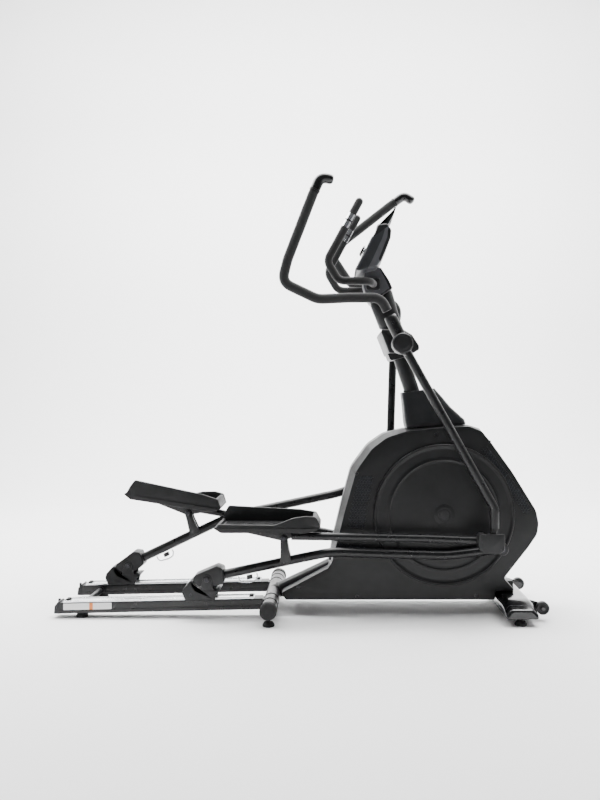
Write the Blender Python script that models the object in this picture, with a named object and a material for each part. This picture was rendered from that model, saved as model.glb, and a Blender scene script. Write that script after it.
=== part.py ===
"""Elliptical trainer: front drive, two roller rails, swinging and fixed handlebars.

Metres. +X points forward, from the rails' open end to the drive housing, +Y to the
user's left and +Z up. The origin is on the floor under the middle of the machine.
Each moving body has an empty on its joint, and its pieces are children of that empty.
"""
import math

import bmesh
import bpy
from mathutils import Matrix, Vector

# ---- driving dimensions (metres, radians) -------------------------------------------
GAP = 0.0003                        # clearance between touching pieces
WALL = 0.003                        # moulded covers

CRANK_CENTRE = (0.5685, 0.3944)     # x, z of the crank axle
CRANK_RADIUS = 0.2547
CRANK_REST = math.radians(-30.15)   # right crank pin; the left pin is opposite
ARM_LENGTH = 1.1544                 # carriage pivot to crank pin
POST_ALONG = 0.3094                 # link pivot, measured along the pedal arm
POST_ABOVE = 0.1275                 # link pivot, measured square to the pedal arm
SWING_PIVOT = (0.3922, 1.0642)      # x, z
SWING_RADIUS = 0.8290               # swing pivot to link end
LINK_LENGTH = 0.8019
PIVOT_HEIGHT = 0.1609               # carriage pivot's height where x is 0

RAIL_SLOPE = 0.0217
RAIL_Y = 0.135
RAIL_WIDTH = 0.056
RAIL_HEIGHT = 0.0423
RAIL_BOTTOM = 0.0375                # underside's height where x is 0
RAIL_REAR = -0.960
RAIL_FRONT = -0.1475
TRACK_REAR = -0.922
TRACK_FRONT = -0.180

CROSSBAR = (-0.1145, 0.060)         # x, z
CROSSBAR_RADIUS = 0.029
CROSSBAR_HALF = 0.257
CAP_RADIUS = 0.0325
BAR_HALF = 0.297                    # crossbar with its end caps

FOOT_RADIUS = 0.023
FEET = {"rear": (-0.856, RAIL_Y), "middle": (CROSSBAR[0], 0.262), "front": (0.836, 0.250)}

CASE_HALF = 0.100
SEAM_HALF = 0.045                   # half the width of the strip between the case halves
DISC_RADIUS = 0.280
DISC_IN, DISC_OUT = 0.103, 0.115
AXLE_RADIUS = 0.0125
PULLEY_RADIUS = 0.120
PULLEY_Y = (0.055, 0.069)
FLYWHEEL_CENTRE = (0.765, 0.300)
FLYWHEEL_RADIUS = 0.125
FLYWHEEL_Y = (-0.046, -0.010)
SMALL_PULLEY_RADIUS = 0.022
SHAFT_RADIUS = 0.009
BRAKE_PIVOT = (0.777, 0.4345)

ARM_Y = 0.140
ARM_RADIUS = 0.018
LINK_RADIUS = 0.015
LINK_Y = 0.178
SWING_Y = 0.219
SWING_TUBE_RADIUS = 0.017
HUB_IN, HUB_OUT = 0.175, 0.258
HUB_RADIUS = 0.040
GRIP_Y = 0.266
BAR_TUBE_RADIUS = 0.0145
GRIP_RADIUS = 0.018
FIXED_BAR_Y = 0.139
FIXED_BAR_RADIUS = 0.0155

MAST_SLOPE = 1.0 / 3.0              # rearward lean of the mast for each metre of height
MAST_BOTTOM, MAST_SHOULDER, MAST_TOP = 0.757, 1.135, 1.268
MAST_HALF_X, MAST_HALF_Y = 0.033, 0.027
HEAD_X, HEAD_Y = 0.045, 0.036      # half sizes of the mast above its shoulder
MAST_END_LIFT = 0.7                # slope of the mast's slanted top end

ROLLER_RADIUS = 0.0175
PIVOT_PIN = 0.0070                  # pivot bolts of the carriages
ROLLER_SPREAD = 0.034               # each roller's distance from the carriage's middle
WHEEL_CENTRE = (0.9350, 0.0480)
WHEEL_RADIUS = 0.025
WHEEL_Y = 0.190

# ---- finishes ----------------------------------------------------------------------
FINISHES = {
    "black_paint": ((0.016, 0.016, 0.018), 0.42, 0.2),
    "gloss_black": ((0.010, 0.010, 0.012), 0.16, 0.0),
    "case_plastic": ((0.014, 0.014, 0.016), 0.45, 0.0),
    "disc_plastic": ((0.012, 0.012, 0.013), 0.38, 0.0),
    "cover_plastic": ((0.020, 0.020, 0.022), 0.50, 0.0),
    "console_grey": ((0.115, 0.120, 0.130), 0.45, 0.0),
    "console_slate": ((0.040, 0.040, 0.045), 0.40, 0.0),
    "foam": ((0.020, 0.020, 0.021), 0.90, 0.0),
    "rubber": ((0.015, 0.015, 0.015), 0.80, 0.0),
    "pedal_plastic": ((0.013, 0.013, 0.014), 0.65, 0.0),
    "aluminium": ((0.80, 0.81, 0.82), 0.30, 1.0),
    "steel": ((0.45, 0.45, 0.46), 0.32, 1.0),
    "cast_iron": ((0.10, 0.10, 0.10), 0.55, 0.9),
    "wheel_plastic": ((0.018, 0.018, 0.018), 0.55, 0.0),
}


def clear_scene():
    for old in list(bpy.data.objects):
        bpy.data.objects.remove(old, do_unlink=True)


def finish(name):
    material = bpy.data.materials.get(name)
    if material is None:
        colour, roughness, metallic = FINISHES[name]
        material = bpy.data.materials.new(name)
        material.use_nodes = True
        shader = material.node_tree.nodes["Principled BSDF"]
        shader.inputs["Base Color"].default_value = (*colour, 1.0)
        shader.inputs["Roughness"].default_value = roughness
        shader.inputs["Metallic"].default_value = metallic
    return material


# ---- outlines and paths ------------------------------------------------------------
def arc(centre, radius, start, end, steps):
    """Side-view points on an arc, angles in degrees from +X towards +Z."""
    points = []
    for step in range(steps + 1):
        angle = math.radians(start + (end - start) * step / steps)
        points.append((centre[0] + radius * math.cos(angle), centre[1] + radius * math.sin(angle)))
    return points


def filleted(points, radius, steps=2):
    """A 3-D path with each inner corner rounded to about the given radius."""
    points = [Vector(point) for point in points]
    path = [points[0]]
    for before, corner, after in zip(points, points[1:], points[2:]):
        back = before - corner
        ahead = after - corner
        turn = math.pi - back.angle(ahead)
        if turn < 0.02:
            path.append(corner)
            continue
        reach = min(radius * math.tan(turn / 2), 0.45 * back.length, 0.45 * ahead.length)
        start = corner + back.normalized() * reach
        end = corner + ahead.normalized() * reach
        for step in range(steps + 1):
            t = step / steps
            path.append(start * (1 - t) ** 2 + corner * 2 * t * (1 - t) + end * t ** 2)
    path.append(points[-1])
    return path


def inward_normals(outline):
    """The unit direction at each corner that points into a side-view outline."""
    count = len(outline)
    area = sum(outline[i - 1][0] * outline[i][1] - outline[i][0] * outline[i - 1][1]
               for i in range(count))
    sign = 1.0 if area > 0 else -1.0
    normals = []
    for index in range(count):
        here = Vector(outline[index])
        back = (here - Vector(outline[index - 1])).normalized()
        ahead = (Vector(outline[(index + 1) % count]) - here).normalized()
        mitre = Vector((-(back.y + ahead.y), back.x + ahead.x)) * sign
        square = Vector((-ahead.y, ahead.x)) * sign
        mitre.normalize()
        normals.append(mitre / max(mitre.dot(square), 0.35))
    return normals


def inset(outline, distances):
    """The outline moved inwards, by one distance or by one for each corner."""
    if not isinstance(distances, (list, tuple)):
        distances = [distances] * len(outline)
    moved = []
    for point, normal, distance in zip(outline, inward_normals(outline), distances):
        moved.append((point[0] + normal.x * distance, point[1] + normal.y * distance))
    return moved


# ---- meshes ------------------------------------------------------------------------
def mesh_from(vertices, faces, name="shape"):
    mesh = bpy.data.meshes.new(name)
    mesh.from_pydata([tuple(vertex) for vertex in vertices], [], faces)
    shell = bmesh.new()
    shell.from_mesh(mesh)
    bmesh.ops.recalc_face_normals(shell, faces=shell.faces)
    shell.to_mesh(mesh)
    shell.free()
    return mesh


def loft(rings, closed=False):
    """Rings of points joined in order, with a face on each end or joined end to end."""
    count = len(rings[0])
    vertices = [vertex for ring in rings for vertex in ring]
    faces = []
    spans = len(rings) if closed else len(rings) - 1
    for span in range(spans):
        low = span * count
        high = ((span + 1) % len(rings)) * count
        for index in range(count):
            after = (index + 1) % count
            faces.append((low + index, low + after, high + after, high + index))
    if not closed:
        faces.append(tuple(range(count)))
        faces.append(tuple(range(len(vertices) - count, len(vertices))))
    return mesh_from(vertices, faces)


def prism(outline, low, high):
    """A side-view outline given thickness along Y."""
    return loft([[(x, low, z) for x, z in outline], [(x, high, z) for x, z in outline]])


def block(x, y, z):
    return prism([(x[0], z[0]), (x[1], z[0]), (x[1], z[1]), (x[0], z[1])], y[0], y[1])


def turned(profile, centre=(0.0, 0.0, 0.0), axis="Y", sides=24, closed=False):
    """A turned shape. The profile is a list of (radius, distance along the axis)."""
    rings = []
    for radius, along in profile:
        ring = []
        for side in range(sides):
            angle = 2 * math.pi * (side + 0.5) / sides
            u, v = radius * math.cos(angle), radius * math.sin(angle)
            offset = {"X": (along, u, v), "Y": (u, along, v), "Z": (u, v, along)}[axis]
            ring.append(Vector(centre) + Vector(offset))
        rings.append(ring)
    return loft(rings, closed)


def frames_along(path):
    """Two directions square to the path at each of its points, without twist."""
    tangents = []
    for index, point in enumerate(path):
        before = path[max(index - 1, 0)]
        after = path[min(index + 1, len(path) - 1)]
        tangents.append((after - before).normalized())
    across = tangents[0].cross(Vector((0, 0, 1)))
    if across.length < 0.1:
        across = tangents[0].cross(Vector((0, 1, 0)))
    frames = []
    for tangent in tangents:
        across = (across - tangent * across.dot(tangent)).normalized()
        frames.append((across, tangent.cross(across)))
    return frames


def rings_along(path, frames, radii, sides):
    rings = []
    for point, (u, v), radius in zip(path, frames, radii):
        ring = []
        for side in range(sides):
            angle = 2 * math.pi * side / sides
            ring.append(point + u * radius * math.cos(angle) + v * radius * math.sin(angle))
        rings.append(ring)
    return rings


def rod(points, radius, bend=0.0, sides=10, steps=2):
    """A bent round bar through the given points."""
    path = filleted(points, bend, steps) if bend else [Vector(point) for point in points]
    radii = radius if isinstance(radius, list) else [radius] * len(path)
    return loft(rings_along(path, frames_along(path), radii, sides))


def evaluated(shape):
    """The shape's mesh with its modifiers applied; the shape itself is removed."""
    depsgraph = bpy.context.evaluated_depsgraph_get()
    result = bpy.data.meshes.new_from_object(shape.evaluated_get(depsgraph))
    bpy.data.objects.remove(shape, do_unlink=True)
    return result


def combined(base, others, operation):
    """The base mesh after a Boolean with each of the other meshes."""
    for other in others:
        shape = bpy.data.objects.new("shape", base)
        tool = bpy.data.objects.new("tool", other)
        bpy.context.collection.objects.link(shape)
        bpy.context.collection.objects.link(tool)
        cut = shape.modifiers.new("cut", "BOOLEAN")
        cut.operation = operation
        cut.solver = "EXACT"
        cut.object = tool
        base = evaluated(shape)
        bpy.data.objects.remove(tool, do_unlink=True)
    return base


def joined(base, *others):
    return combined(base, others, "UNION")


def cut_from(base, *others):
    return combined(base, others, "DIFFERENCE")


def softened(mesh, width, segments=1):
    """The mesh with its sharp edges rounded."""
    shape = bpy.data.objects.new("shape", mesh)
    bpy.context.collection.objects.link(shape)
    edge = shape.modifiers.new("edge", "BEVEL")
    edge.width = width
    edge.segments = segments
    edge.limit_method = "ANGLE"
    edge.angle_limit = math.radians(40)
    return evaluated(shape)


def mirrored(mesh, side):
    """The mesh for the left side (side 1), or its mirror image for the right (side -1)."""
    if side > 0:
        return mesh
    mesh.transform(Matrix.Scale(-1, 4, (0, 1, 0)))
    mesh.flip_normals()
    return mesh


# ---- objects -----------------------------------------------------------------------
def pivot(name, x, y, z, tilt=0.0, parent=None):
    """An empty on a joint's axis. Tilt lifts its +X axis towards +Z."""
    empty = bpy.data.objects.new(name, None)
    bpy.context.collection.objects.link(empty)
    place = Matrix.Translation((x, y, z)) @ Matrix.Rotation(-tilt, 4, "Y")
    if parent is not None:
        empty.parent = parent
        place = parent.matrix_world.inverted() @ place
    empty.matrix_local = place
    bpy.context.view_layer.update()
    return empty


def piece(name, mesh, finish_name, parent=None):
    mesh.name = name
    mesh.materials.clear()
    mesh.materials.append(finish(finish_name))
    mesh.shade_smooth()
    mesh.set_sharp_from_angle(angle=math.radians(35))
    thing = bpy.data.objects.new(name, mesh)
    bpy.context.collection.objects.link(thing)
    if parent is not None:
        thing.parent = parent
    return thing


# ---- linkage -----------------------------------------------------------------------
def linkage(crank_angle):
    """Side-view points of one side's linkage: pin, carriage pivot, link pivot, link end."""
    pin = Vector((CRANK_CENTRE[0] + CRANK_RADIUS * math.cos(crank_angle),
                  CRANK_CENTRE[1] + CRANK_RADIUS * math.sin(crank_angle)))
    a = 1 + RAIL_SLOPE ** 2
    b = -2 * pin.x + 2 * RAIL_SLOPE * (PIVOT_HEIGHT - pin.y)
    c = pin.x ** 2 + (PIVOT_HEIGHT - pin.y) ** 2 - ARM_LENGTH ** 2
    x = (-b - math.sqrt(b * b - 4 * a * c)) / (2 * a)
    carriage = Vector((x, PIVOT_HEIGHT + RAIL_SLOPE * x))
    along = (pin - carriage).normalized()
    above = Vector((-along.y, along.x))
    link_pivot = carriage + along * POST_ALONG + above * POST_ABOVE
    swing = Vector(SWING_PIVOT)
    span = link_pivot - swing
    reach = (SWING_RADIUS ** 2 - LINK_LENGTH ** 2 + span.length_squared) / (2 * span.length)
    rise = math.sqrt(SWING_RADIUS ** 2 - reach ** 2)
    unit = span.normalized()
    end = swing + unit * reach + Vector((-unit.y, unit.x)) * rise
    return {"pin": pin, "carriage": carriage, "link": link_pivot, "end": end}


def slope_of(start, end):
    return math.atan2(end.y - start.y, end.x - start.x)


RIGHT = linkage(CRANK_REST)
LEFT = linkage(CRANK_REST + math.pi)
SIDES = {"right": (-1, RIGHT), "left": (1, LEFT)}
SWING_APART = (slope_of(Vector(SWING_PIVOT), RIGHT["end"])
               - slope_of(Vector(SWING_PIVOT), LEFT["end"]))


def rail_bottom(x):
    return RAIL_BOTTOM + RAIL_SLOPE * x


def rail_top(x):
    return rail_bottom(x) + RAIL_HEIGHT


def mast_x(z):
    return SWING_PIVOT[0] + MAST_SLOPE * (SWING_PIVOT[1] - z)


# ---- base frame --------------------------------------------------------------------
# Corners of the seam between a case half and the centre strip, from the tail forward
# over the top and back along the bottom: x, z, lean of the side panel, seam's |y|.
CASE_SEAM = [
    (-0.078, 0.082, 0.000, 0.0005),
    (0.108, 0.180, 0.000, 0.0005),
    (0.1126, 0.2050, 0.010, 0.0005),
    (0.1130, 0.2110, 0.012, SEAM_HALF),
    (0.1219, 0.2720, 0.018, SEAM_HALF),
    (0.1559, 0.4149, 0.020, SEAM_HALF),
    (0.1992, 0.5760, 0.022, SEAM_HALF),
    (0.2676, 0.6686, 0.020, SEAM_HALF),
    (0.3356, 0.7152, 0.016, SEAM_HALF),
    (0.4222, 0.7338, 0.008, SEAM_HALF),
    (0.5809, 0.7453, 0.004, SEAM_HALF),
    (0.6698, 0.7492, 0.004, SEAM_HALF),
    (0.7196, 0.7338, 0.008, SEAM_HALF),
    (0.7300, 0.7286, 0.010, 0.0005),
    (0.7720, 0.6813, 0.014, 0.0005),
    (0.8600, 0.5589, 0.014, 0.0005),
    (0.9490, 0.4149, 0.014, 0.0005),
    (0.9610, 0.3590, 0.014, 0.0005),
    (0.9540, 0.3093, 0.014, 0.0005),
    (0.9160, 0.2538, 0.014, 0.0005),
    (0.8155, 0.1389, 0.006, 0.0005),
    (0.8480, 0.0960, 0.000, 0.0005),
    (0.8440, 0.0885, 0.000, 0.0005),
    (0.7750, 0.0885, 0.000, 0.0005),
    (0.7720, 0.0540, 0.000, 0.0005),
    (-0.060, 0.0540, 0.000, 0.0005),
]
STRIP_FIRST, STRIP_LAST = 3, 12       # corners between which the centre strip runs

SPINE_SLOPE = 0.47
SPINE_RADIUS = 0.030
POST_X = (0.470, 0.530)
POST_TOP = 0.7565
BEAM_Z = (0.072, 0.112)
BEAM_HALF = 0.030


def spine(radius, start, end):
    """The slanted tube from the crossbar up into the case."""
    points = [(x, 0.0, CROSSBAR[1] + SPINE_SLOPE * (x - CROSSBAR[0])) for x in (start, end)]
    return rod(points, radius, sides=20)


def mast_section(grow, bottom, top):
    """The oval mast between two heights, grown by a clearance."""
    return loft([mast_ring(z, MAST_HALF_X + grow, MAST_HALF_Y + grow) for z in (bottom, top)])


def mast_ring(height, half_x, half_y, lift=0.0):
    """One level of the mast. Lift raises its front edge, for a slanted end."""
    ring = []
    for side in range(16):
        angle = 2 * math.pi * side / 16
        x, y = half_x * math.cos(angle), half_y * math.sin(angle)
        ring.append((mast_x(height) + x, y, height + lift * x))
    return ring


def build_main_frame():
    frame = turned([(CROSSBAR_RADIUS, -CROSSBAR_HALF), (CROSSBAR_RADIUS, CROSSBAR_HALF)],
                   (CROSSBAR[0], 0, CROSSBAR[1]), sides=20)
    beam = block((-0.030, 0.862), (-BEAM_HALF, BEAM_HALF), BEAM_Z)
    post = block(POST_X, (-0.025, 0.025), (0.100, POST_TOP))
    bottom_bracket = turned([(0.028, -0.045), (0.028, 0.045)],
                            (CRANK_CENTRE[0], 0, CRANK_CENTRE[1]), sides=20)
    gusset = block((0.500, 0.556), (-0.020, 0.020), (0.372, 0.418))
    lug = block((0.747, 0.790), (0.012, 0.0295), (0.100, 0.455))
    frame = joined(frame, spine(SPINE_RADIUS, CROSSBAR[0], 0.490), beam, post,
                   gusset, bottom_bracket, lug)
    for side in (-1, 1):
        stub = [(-0.1760, rail_bottom(-0.176) + 0.004), (-0.1150, rail_bottom(-0.115) + 0.004),
                (-0.1150, rail_top(-0.115) - 0.004), (-0.1760, rail_top(-0.176) - 0.004)]
        y = sorted((side * (RAIL_Y - 0.022), side * (RAIL_Y + 0.022)))
        frame = joined(frame, prism(stub, *y))
    bores = [
        turned([(AXLE_RADIUS + GAP, -0.06), (AXLE_RADIUS + GAP, 0.06)],
               (CRANK_CENTRE[0], 0, CRANK_CENTRE[1]), sides=16),
        turned([(SHAFT_RADIUS + GAP, 0.0), (SHAFT_RADIUS + GAP, 0.04)],
               (FLYWHEEL_CENTRE[0], 0, FLYWHEEL_CENTRE[1]), sides=24),
    ]
    bores += [foot_hole("middle", side) for side in (-1, 1)]
    frame = cut_from(frame, *bores)
    piece("main_frame", frame, "black_paint")


def build_crossbar_caps():
    for name, side in (("right", -1), ("left", 1)):
        profile = [(CAP_RADIUS, CROSSBAR_HALF + GAP), (CAP_RADIUS, BAR_HALF - 0.008),
                   (CAP_RADIUS - 0.006, BAR_HALF - 0.001), (0.010, BAR_HALF)]
        cap = turned(profile, (CROSSBAR[0], 0, CROSSBAR[1]), sides=20)
        cap = cut_from(cap, foot_hole("middle", 1))
        piece(f"crossbar_cap_{name}", mirrored(cap, side), "rubber")


STAB_X = (0.778, 0.900)


def stabilizer_ring(y, top, grow=0.0):
    low, high = STAB_X[0] - grow, STAB_X[1] + grow
    return [(low, y, 0.030), (high, y, 0.030), (high, y, top - 0.022),
            (high - 0.012, y, top - 0.008), (high - 0.035, y, top),
            (low + 0.030, y, top), (low + 0.008, y, top - 0.010), (low, y, top - 0.026)]


def build_front_stabilizer():
    beam = loft([stabilizer_ring(-0.278, 0.058, -0.006), stabilizer_ring(-0.270, 0.064),
                 stabilizer_ring(-0.205, 0.084), stabilizer_ring(0.205, 0.084),
                 stabilizer_ring(0.270, 0.064), stabilizer_ring(0.278, 0.058, -0.006)])
    pocket = block((0.70, 0.8625), (-BEAM_HALF - GAP, BEAM_HALF + GAP),
                   (BEAM_Z[0] - GAP, 0.12))
    beam = cut_from(beam, pocket)
    x, z = WHEEL_CENTRE
    for side in (-1, 1):
        y = sorted((side * 0.164, side * 0.174))
        lug = prism([(0.870, 0.038), (0.940, 0.036), (0.948, 0.046), (0.944, 0.060),
                     (0.885, 0.074), (0.870, 0.074)], *y)
        pin = turned([(0.0045, 0.170), (0.0045, 0.2035)], (x, 0, z), sides=12)
        beam = joined(beam, lug, mirrored(pin, side))
    beam = cut_from(beam, *[foot_hole("front", side) for side in (-1, 1)])
    piece("front_stabilizer", beam, "gloss_black")


def build_transport_wheels():
    x, z = WHEEL_CENTRE
    bore = 0.0045 + GAP
    profile = [(bore, -0.011), (WHEEL_RADIUS, -0.011), (WHEEL_RADIUS, 0.011), (bore, 0.011)]
    for name, side in (("right", -1), ("left", 1)):
        axle = pivot(f"{name}_wheel_axle", x, side * WHEEL_Y, z)
        wheel = turned(profile, sides=20, closed=True)
        piece(f"transport_wheel_{name}", wheel, "wheel_plastic", axle)


def foot_hole(row, side):
    x, y = FEET[row]
    return turned([(0.0055, -0.01), (0.0055, 0.048)], (x, side * y, 0), axis="Z", sides=12)


def build_feet():
    profile = [(FOOT_RADIUS, 0.0), (FOOT_RADIUS - 0.001, 0.004), (FOOT_RADIUS - 0.006, 0.016),
               (0.0050, 0.017), (0.0050, 0.047)]
    for row, (x, y) in FEET.items():
        for name, side in (("right", -1), ("left", 1)):
            screw = pivot(f"{row}_{name}_foot_screw", x, side * y, 0.0)
            foot = turned(profile, axis="Z", sides=12)
            piece(f"foot_{row}_{name}", foot, "rubber", screw)


# ---- rails -------------------------------------------------------------------------
def build_rails():
    for name, side in (("right", -1), ("left", 1)):
        ends = (RAIL_REAR, RAIL_FRONT)
        outline = [(ends[0], rail_bottom(ends[0])), (ends[1], rail_bottom(ends[1])),
                   (ends[1], rail_top(ends[1])), (ends[0] + 0.026, rail_top(ends[0] + 0.026)),
                   (ends[0] + 0.004, rail_top(ends[0]) - 0.012)]
        y = sorted((side * (RAIL_Y - RAIL_WIDTH / 2), side * (RAIL_Y + RAIL_WIDTH / 2)))
        rail = prism(outline, *y)
        socket = [(-0.1763, rail_bottom(-0.1763) + 0.0037), (-0.13, rail_bottom(-0.13) + 0.0037),
                  (-0.13, rail_top(-0.13) - 0.0037), (-0.1763, rail_top(-0.1763) - 0.0037)]
        y = sorted((side * (RAIL_Y - 0.0223), side * (RAIL_Y + 0.0223)))
        rail = cut_from(rail, prism(socket, *y), foot_hole("rear", side))
        piece(f"rail_{name}", rail, "black_paint")
        build_track(name, side)


def build_track(name, side):
    """The aluminium running surface: a shallow channel that guides the rollers."""
    half, lip, low, high = 0.0265, 0.0035, GAP, 0.007
    section = [(-half, low), (half, low), (half, high), (half - lip, high), (half - lip, 0.003),
               (-half + lip, 0.003), (-half + lip, high), (-half, high)]
    rings = []
    for x in (TRACK_REAR, TRACK_FRONT):
        rings.append([(x, side * RAIL_Y + y, rail_top(x) + z) for y, z in section])
    piece(f"track_{name}", loft(rings), "aluminium")


def build_rear_tie():
    """The cross tube that holds the two rails apart at their rear ends."""
    inner = RAIL_Y - RAIL_WIDTH / 2 - GAP
    x = -0.860
    tie = turned([(0.0125, -inner), (0.0125, inner)], (x, 0, rail_bottom(x) + 0.0195), sides=16)
    piece("rear_tie", tie, "black_paint")


# ---- drive housing -----------------------------------------------------------------
def case_points(indices=None):
    points = CASE_SEAM if indices is None else [CASE_SEAM[index] for index in indices]
    return [(x, z) for x, z, lean, seam in points]


def build_case_half(name, side):
    seam = case_points()
    panel = inset(seam, [lean for x, z, lean, y in CASE_SEAM])
    depths = [y for x, z, lean, y in CASE_SEAM]
    seam_in = inset(seam, WALL)
    panel_in = inset(panel, WALL)
    count = len(seam)
    rings = [
        [(x, CASE_HALF, z) for x, z in panel],
        [(x, y, z) for (x, z), y in zip(seam, depths)],
        [(x, y, z) for (x, z), y in zip(seam_in, depths)],
        [(x, CASE_HALF - WALL, z) for x, z in panel_in],
    ]
    half = loft(rings)
    hole = turned([(0.020, 0.05), (0.020, 0.12)], (CRANK_CENTRE[0], 0, CRANK_CENTRE[1]), sides=16)
    tail_opening = spine(SPINE_RADIUS + 0.002, -0.10, 0.30)
    beam_opening = block((0.70, 0.880), (-BEAM_HALF - 0.002, BEAM_HALF + 0.002), (0.060, 0.1145))
    half = cut_from(half, hole, tail_opening, beam_opening)
    piece(f"side_case_{name}", mirrored(half, side), "case_plastic")


def build_case_strip():
    """The centre strip over the case's rear edge and top, open where the mast goes in."""
    outer = case_points(range(STRIP_FIRST, STRIP_LAST + 1))
    inner = inset(case_points(), WALL)[STRIP_FIRST:STRIP_LAST + 1]
    strip = prism(outer + inner[::-1], -SEAM_HALF + GAP, SEAM_HALF - GAP)
    strip = cut_from(strip, block((0.460, 0.560), (-0.034, 0.034), (0.70, 0.80)))
    piece("case_strip", strip, "case_plastic")


def boot_ring(z, rear, front, half, lift=0.0):
    """One level of the mast boot: a rounded rectangle whose front edge may be lifted."""
    edge = 0.25 * half
    outline = [(rear, -half + edge), (rear, half - edge), (rear + edge, half),
               (front - edge, half), (front, half - edge), (front, -half + edge),
               (front - edge, -half), (rear + edge, -half)]
    return [(x, y, z + lift * (x - rear) / (front - rear)) for x, y in outline]


def build_mast_boot():
    boot = loft([boot_ring(0.7362, 0.4235, 0.6640, 0.064, 0.0150),
                 boot_ring(0.7600, 0.4180, 0.6600, 0.062, 0.0100),
                 boot_ring(0.8200, 0.4130, 0.6050, 0.056),
                 boot_ring(0.8780, 0.4060, 0.5400, 0.047, 0.0180)])
    boot = cut_from(boot, mast_section(0.001, 0.70, 0.95),
                    block((0.462, 0.560), (-0.034, 0.034), (0.70, 0.7580)))
    piece("mast_boot", boot, "cover_plastic")


# ---- mast and console --------------------------------------------------------------
def build_mast():
    mast = loft([mast_ring(MAST_BOTTOM, MAST_HALF_X, MAST_HALF_Y),
                 mast_ring(MAST_SHOULDER, MAST_HALF_X, MAST_HALF_Y),
                 mast_ring(MAST_SHOULDER + 0.012, HEAD_X, HEAD_Y, 0.2),
                 mast_ring(MAST_TOP, HEAD_X, HEAD_Y, MAST_END_LIFT)])
    bore = turned([(AXLE_RADIUS + GAP, -0.05), (AXLE_RADIUS + GAP, 0.05)],
                  (SWING_PIVOT[0], 0, SWING_PIVOT[1]), sides=16)
    piece("mast", cut_from(mast, bore), "black_paint")
    axle = turned([(AXLE_RADIUS, -0.255), (AXLE_RADIUS, 0.255)],
                  (SWING_PIVOT[0], 0, SWING_PIVOT[1]), sides=16)
    piece("pivot_axle", axle, "steel")


def build_mast_collar():
    """The moulded shroud around the swing axle."""
    x, z = SWING_PIVOT
    outline = [(x - 0.034, z - 0.058), (x + 0.036, z - 0.040), (x + 0.074, z - 0.018),
               (x + 0.073, z - 0.002), (x + 0.046, z + 0.040), (x + 0.016, z + 0.058),
               (x - 0.072, z + 0.062), (x - 0.077, z + 0.052)]
    collar = softened(prism(outline, -0.150, 0.150), 0.008)
    hole = turned([(AXLE_RADIUS + 0.0008, -0.2), (AXLE_RADIUS + 0.0008, 0.2)], (x, 0, z), sides=16)
    waist = [block((x - 0.2, x + 0.2), y, (z - 0.2, z - 0.030))
             for y in ((-0.2, -0.075), (0.075, 0.2))]
    collar = cut_from(collar, mast_section(0.001, 0.9, 1.2), hole, *waist)
    piece("mast_collar", collar, "cover_plastic")


CONSOLE_HEAD = [(0.214, 1.352), (0.292, 1.505), (0.306, 1.536), (0.340, 1.540), (0.357, 1.515),
                (0.354, 1.484), (0.318, 1.397), (0.300, 1.372)]
CONSOLE_NECK = [(0.262, 1.385), (0.322, 1.385), (0.354, 1.335), (0.3700, 1.3008),
                (0.2790, 1.2371), (0.264, 1.262), (0.248, 1.318)]
HEAD_HALF = 0.150


def fixed_bar_path():
    """The fixed handlebar: across the mast head, back along both sides and up."""
    near = [(0.290, 0.060, 1.316), (0.270, FIXED_BAR_Y, 1.316), (0.150, FIXED_BAR_Y, 1.316),
            (0.104, FIXED_BAR_Y, 1.394), (0.238, FIXED_BAR_Y, 1.640)]
    return [(x, -y, z) for x, y, z in near[::-1]] + near


def build_console():
    head = softened(prism(CONSOLE_HEAD, -HEAD_HALF, HEAD_HALF), 0.010)
    neck = softened(prism(CONSOLE_NECK, -0.048, 0.048), 0.006)
    shell = joined(head, neck)
    clearance = rod(fixed_bar_path(), FIXED_BAR_RADIUS + 0.0012, 0.045, steps=3)
    knob_hole = turned([(0.0065, 0.02), (0.0065, -0.03)], axis="Z", sides=12)
    knob_hole.transform(console_place(KNOB_ALONG, 0.0))
    shell = cut_from(shell, clearance, knob_hole)
    piece("console_shell", shell, "console_grey")
    face = softened(block((-0.076, 0.072), (-0.128, 0.128), (GAP, 0.004)), 0.0015)
    face.transform(console_place(0.0, 0.0))
    face = cut_from(face, knob_clearance())
    piece("console_face", face, "console_slate")
    knob_axis = pivot("knob_axis", *console_place(KNOB_ALONG, 0.0).translation)
    knob_axis.matrix_local = console_place(KNOB_ALONG, 0.0)
    profile = [(0.0060, -0.018), (0.0060, 0.006), (0.0260, 0.006), (0.0250, 0.020),
               (0.0200, 0.024)]
    piece("console_knob", turned(profile, axis="Z", sides=16), "gloss_black", knob_axis)


KNOB_ALONG = 0.026


def console_place(along, across):
    """A frame on the console's face: local X runs up the face, local Z out of it."""
    low, high = Vector(CONSOLE_HEAD[0]), Vector(CONSOLE_HEAD[1])
    up = (high - low).normalized()
    middle = (low + high) / 2 + up * along
    rotation = Matrix(((up.x, 0, -up.y), (0, 1, 0), (up.y, 0, up.x))).to_4x4()
    return Matrix.Translation((middle.x, across, middle.y)) @ rotation


def knob_clearance():
    hole = turned([(0.0262, -0.01), (0.0262, 0.02)], axis="Z", sides=20)
    hole.transform(console_place(KNOB_ALONG, 0.0))
    return hole


def build_device_rack():
    """The rack on the console's top edge that holds a phone or tablet."""
    outline = [(0.300, 1.5365), (0.318, 1.5415), (0.345, 1.5435), (0.372, 1.592), (0.380, 1.617),
               (0.374, 1.617), (0.361, 1.592), (0.335, 1.552), (0.306, 1.548)]
    rack = prism(outline, -0.095, 0.095)
    piece("device_rack", rack, "cover_plastic")


def build_fixed_handlebar():
    bar = rod(fixed_bar_path(), FIXED_BAR_RADIUS, 0.045, steps=3)
    piece("fixed_handlebar", bar, "foam")


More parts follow.
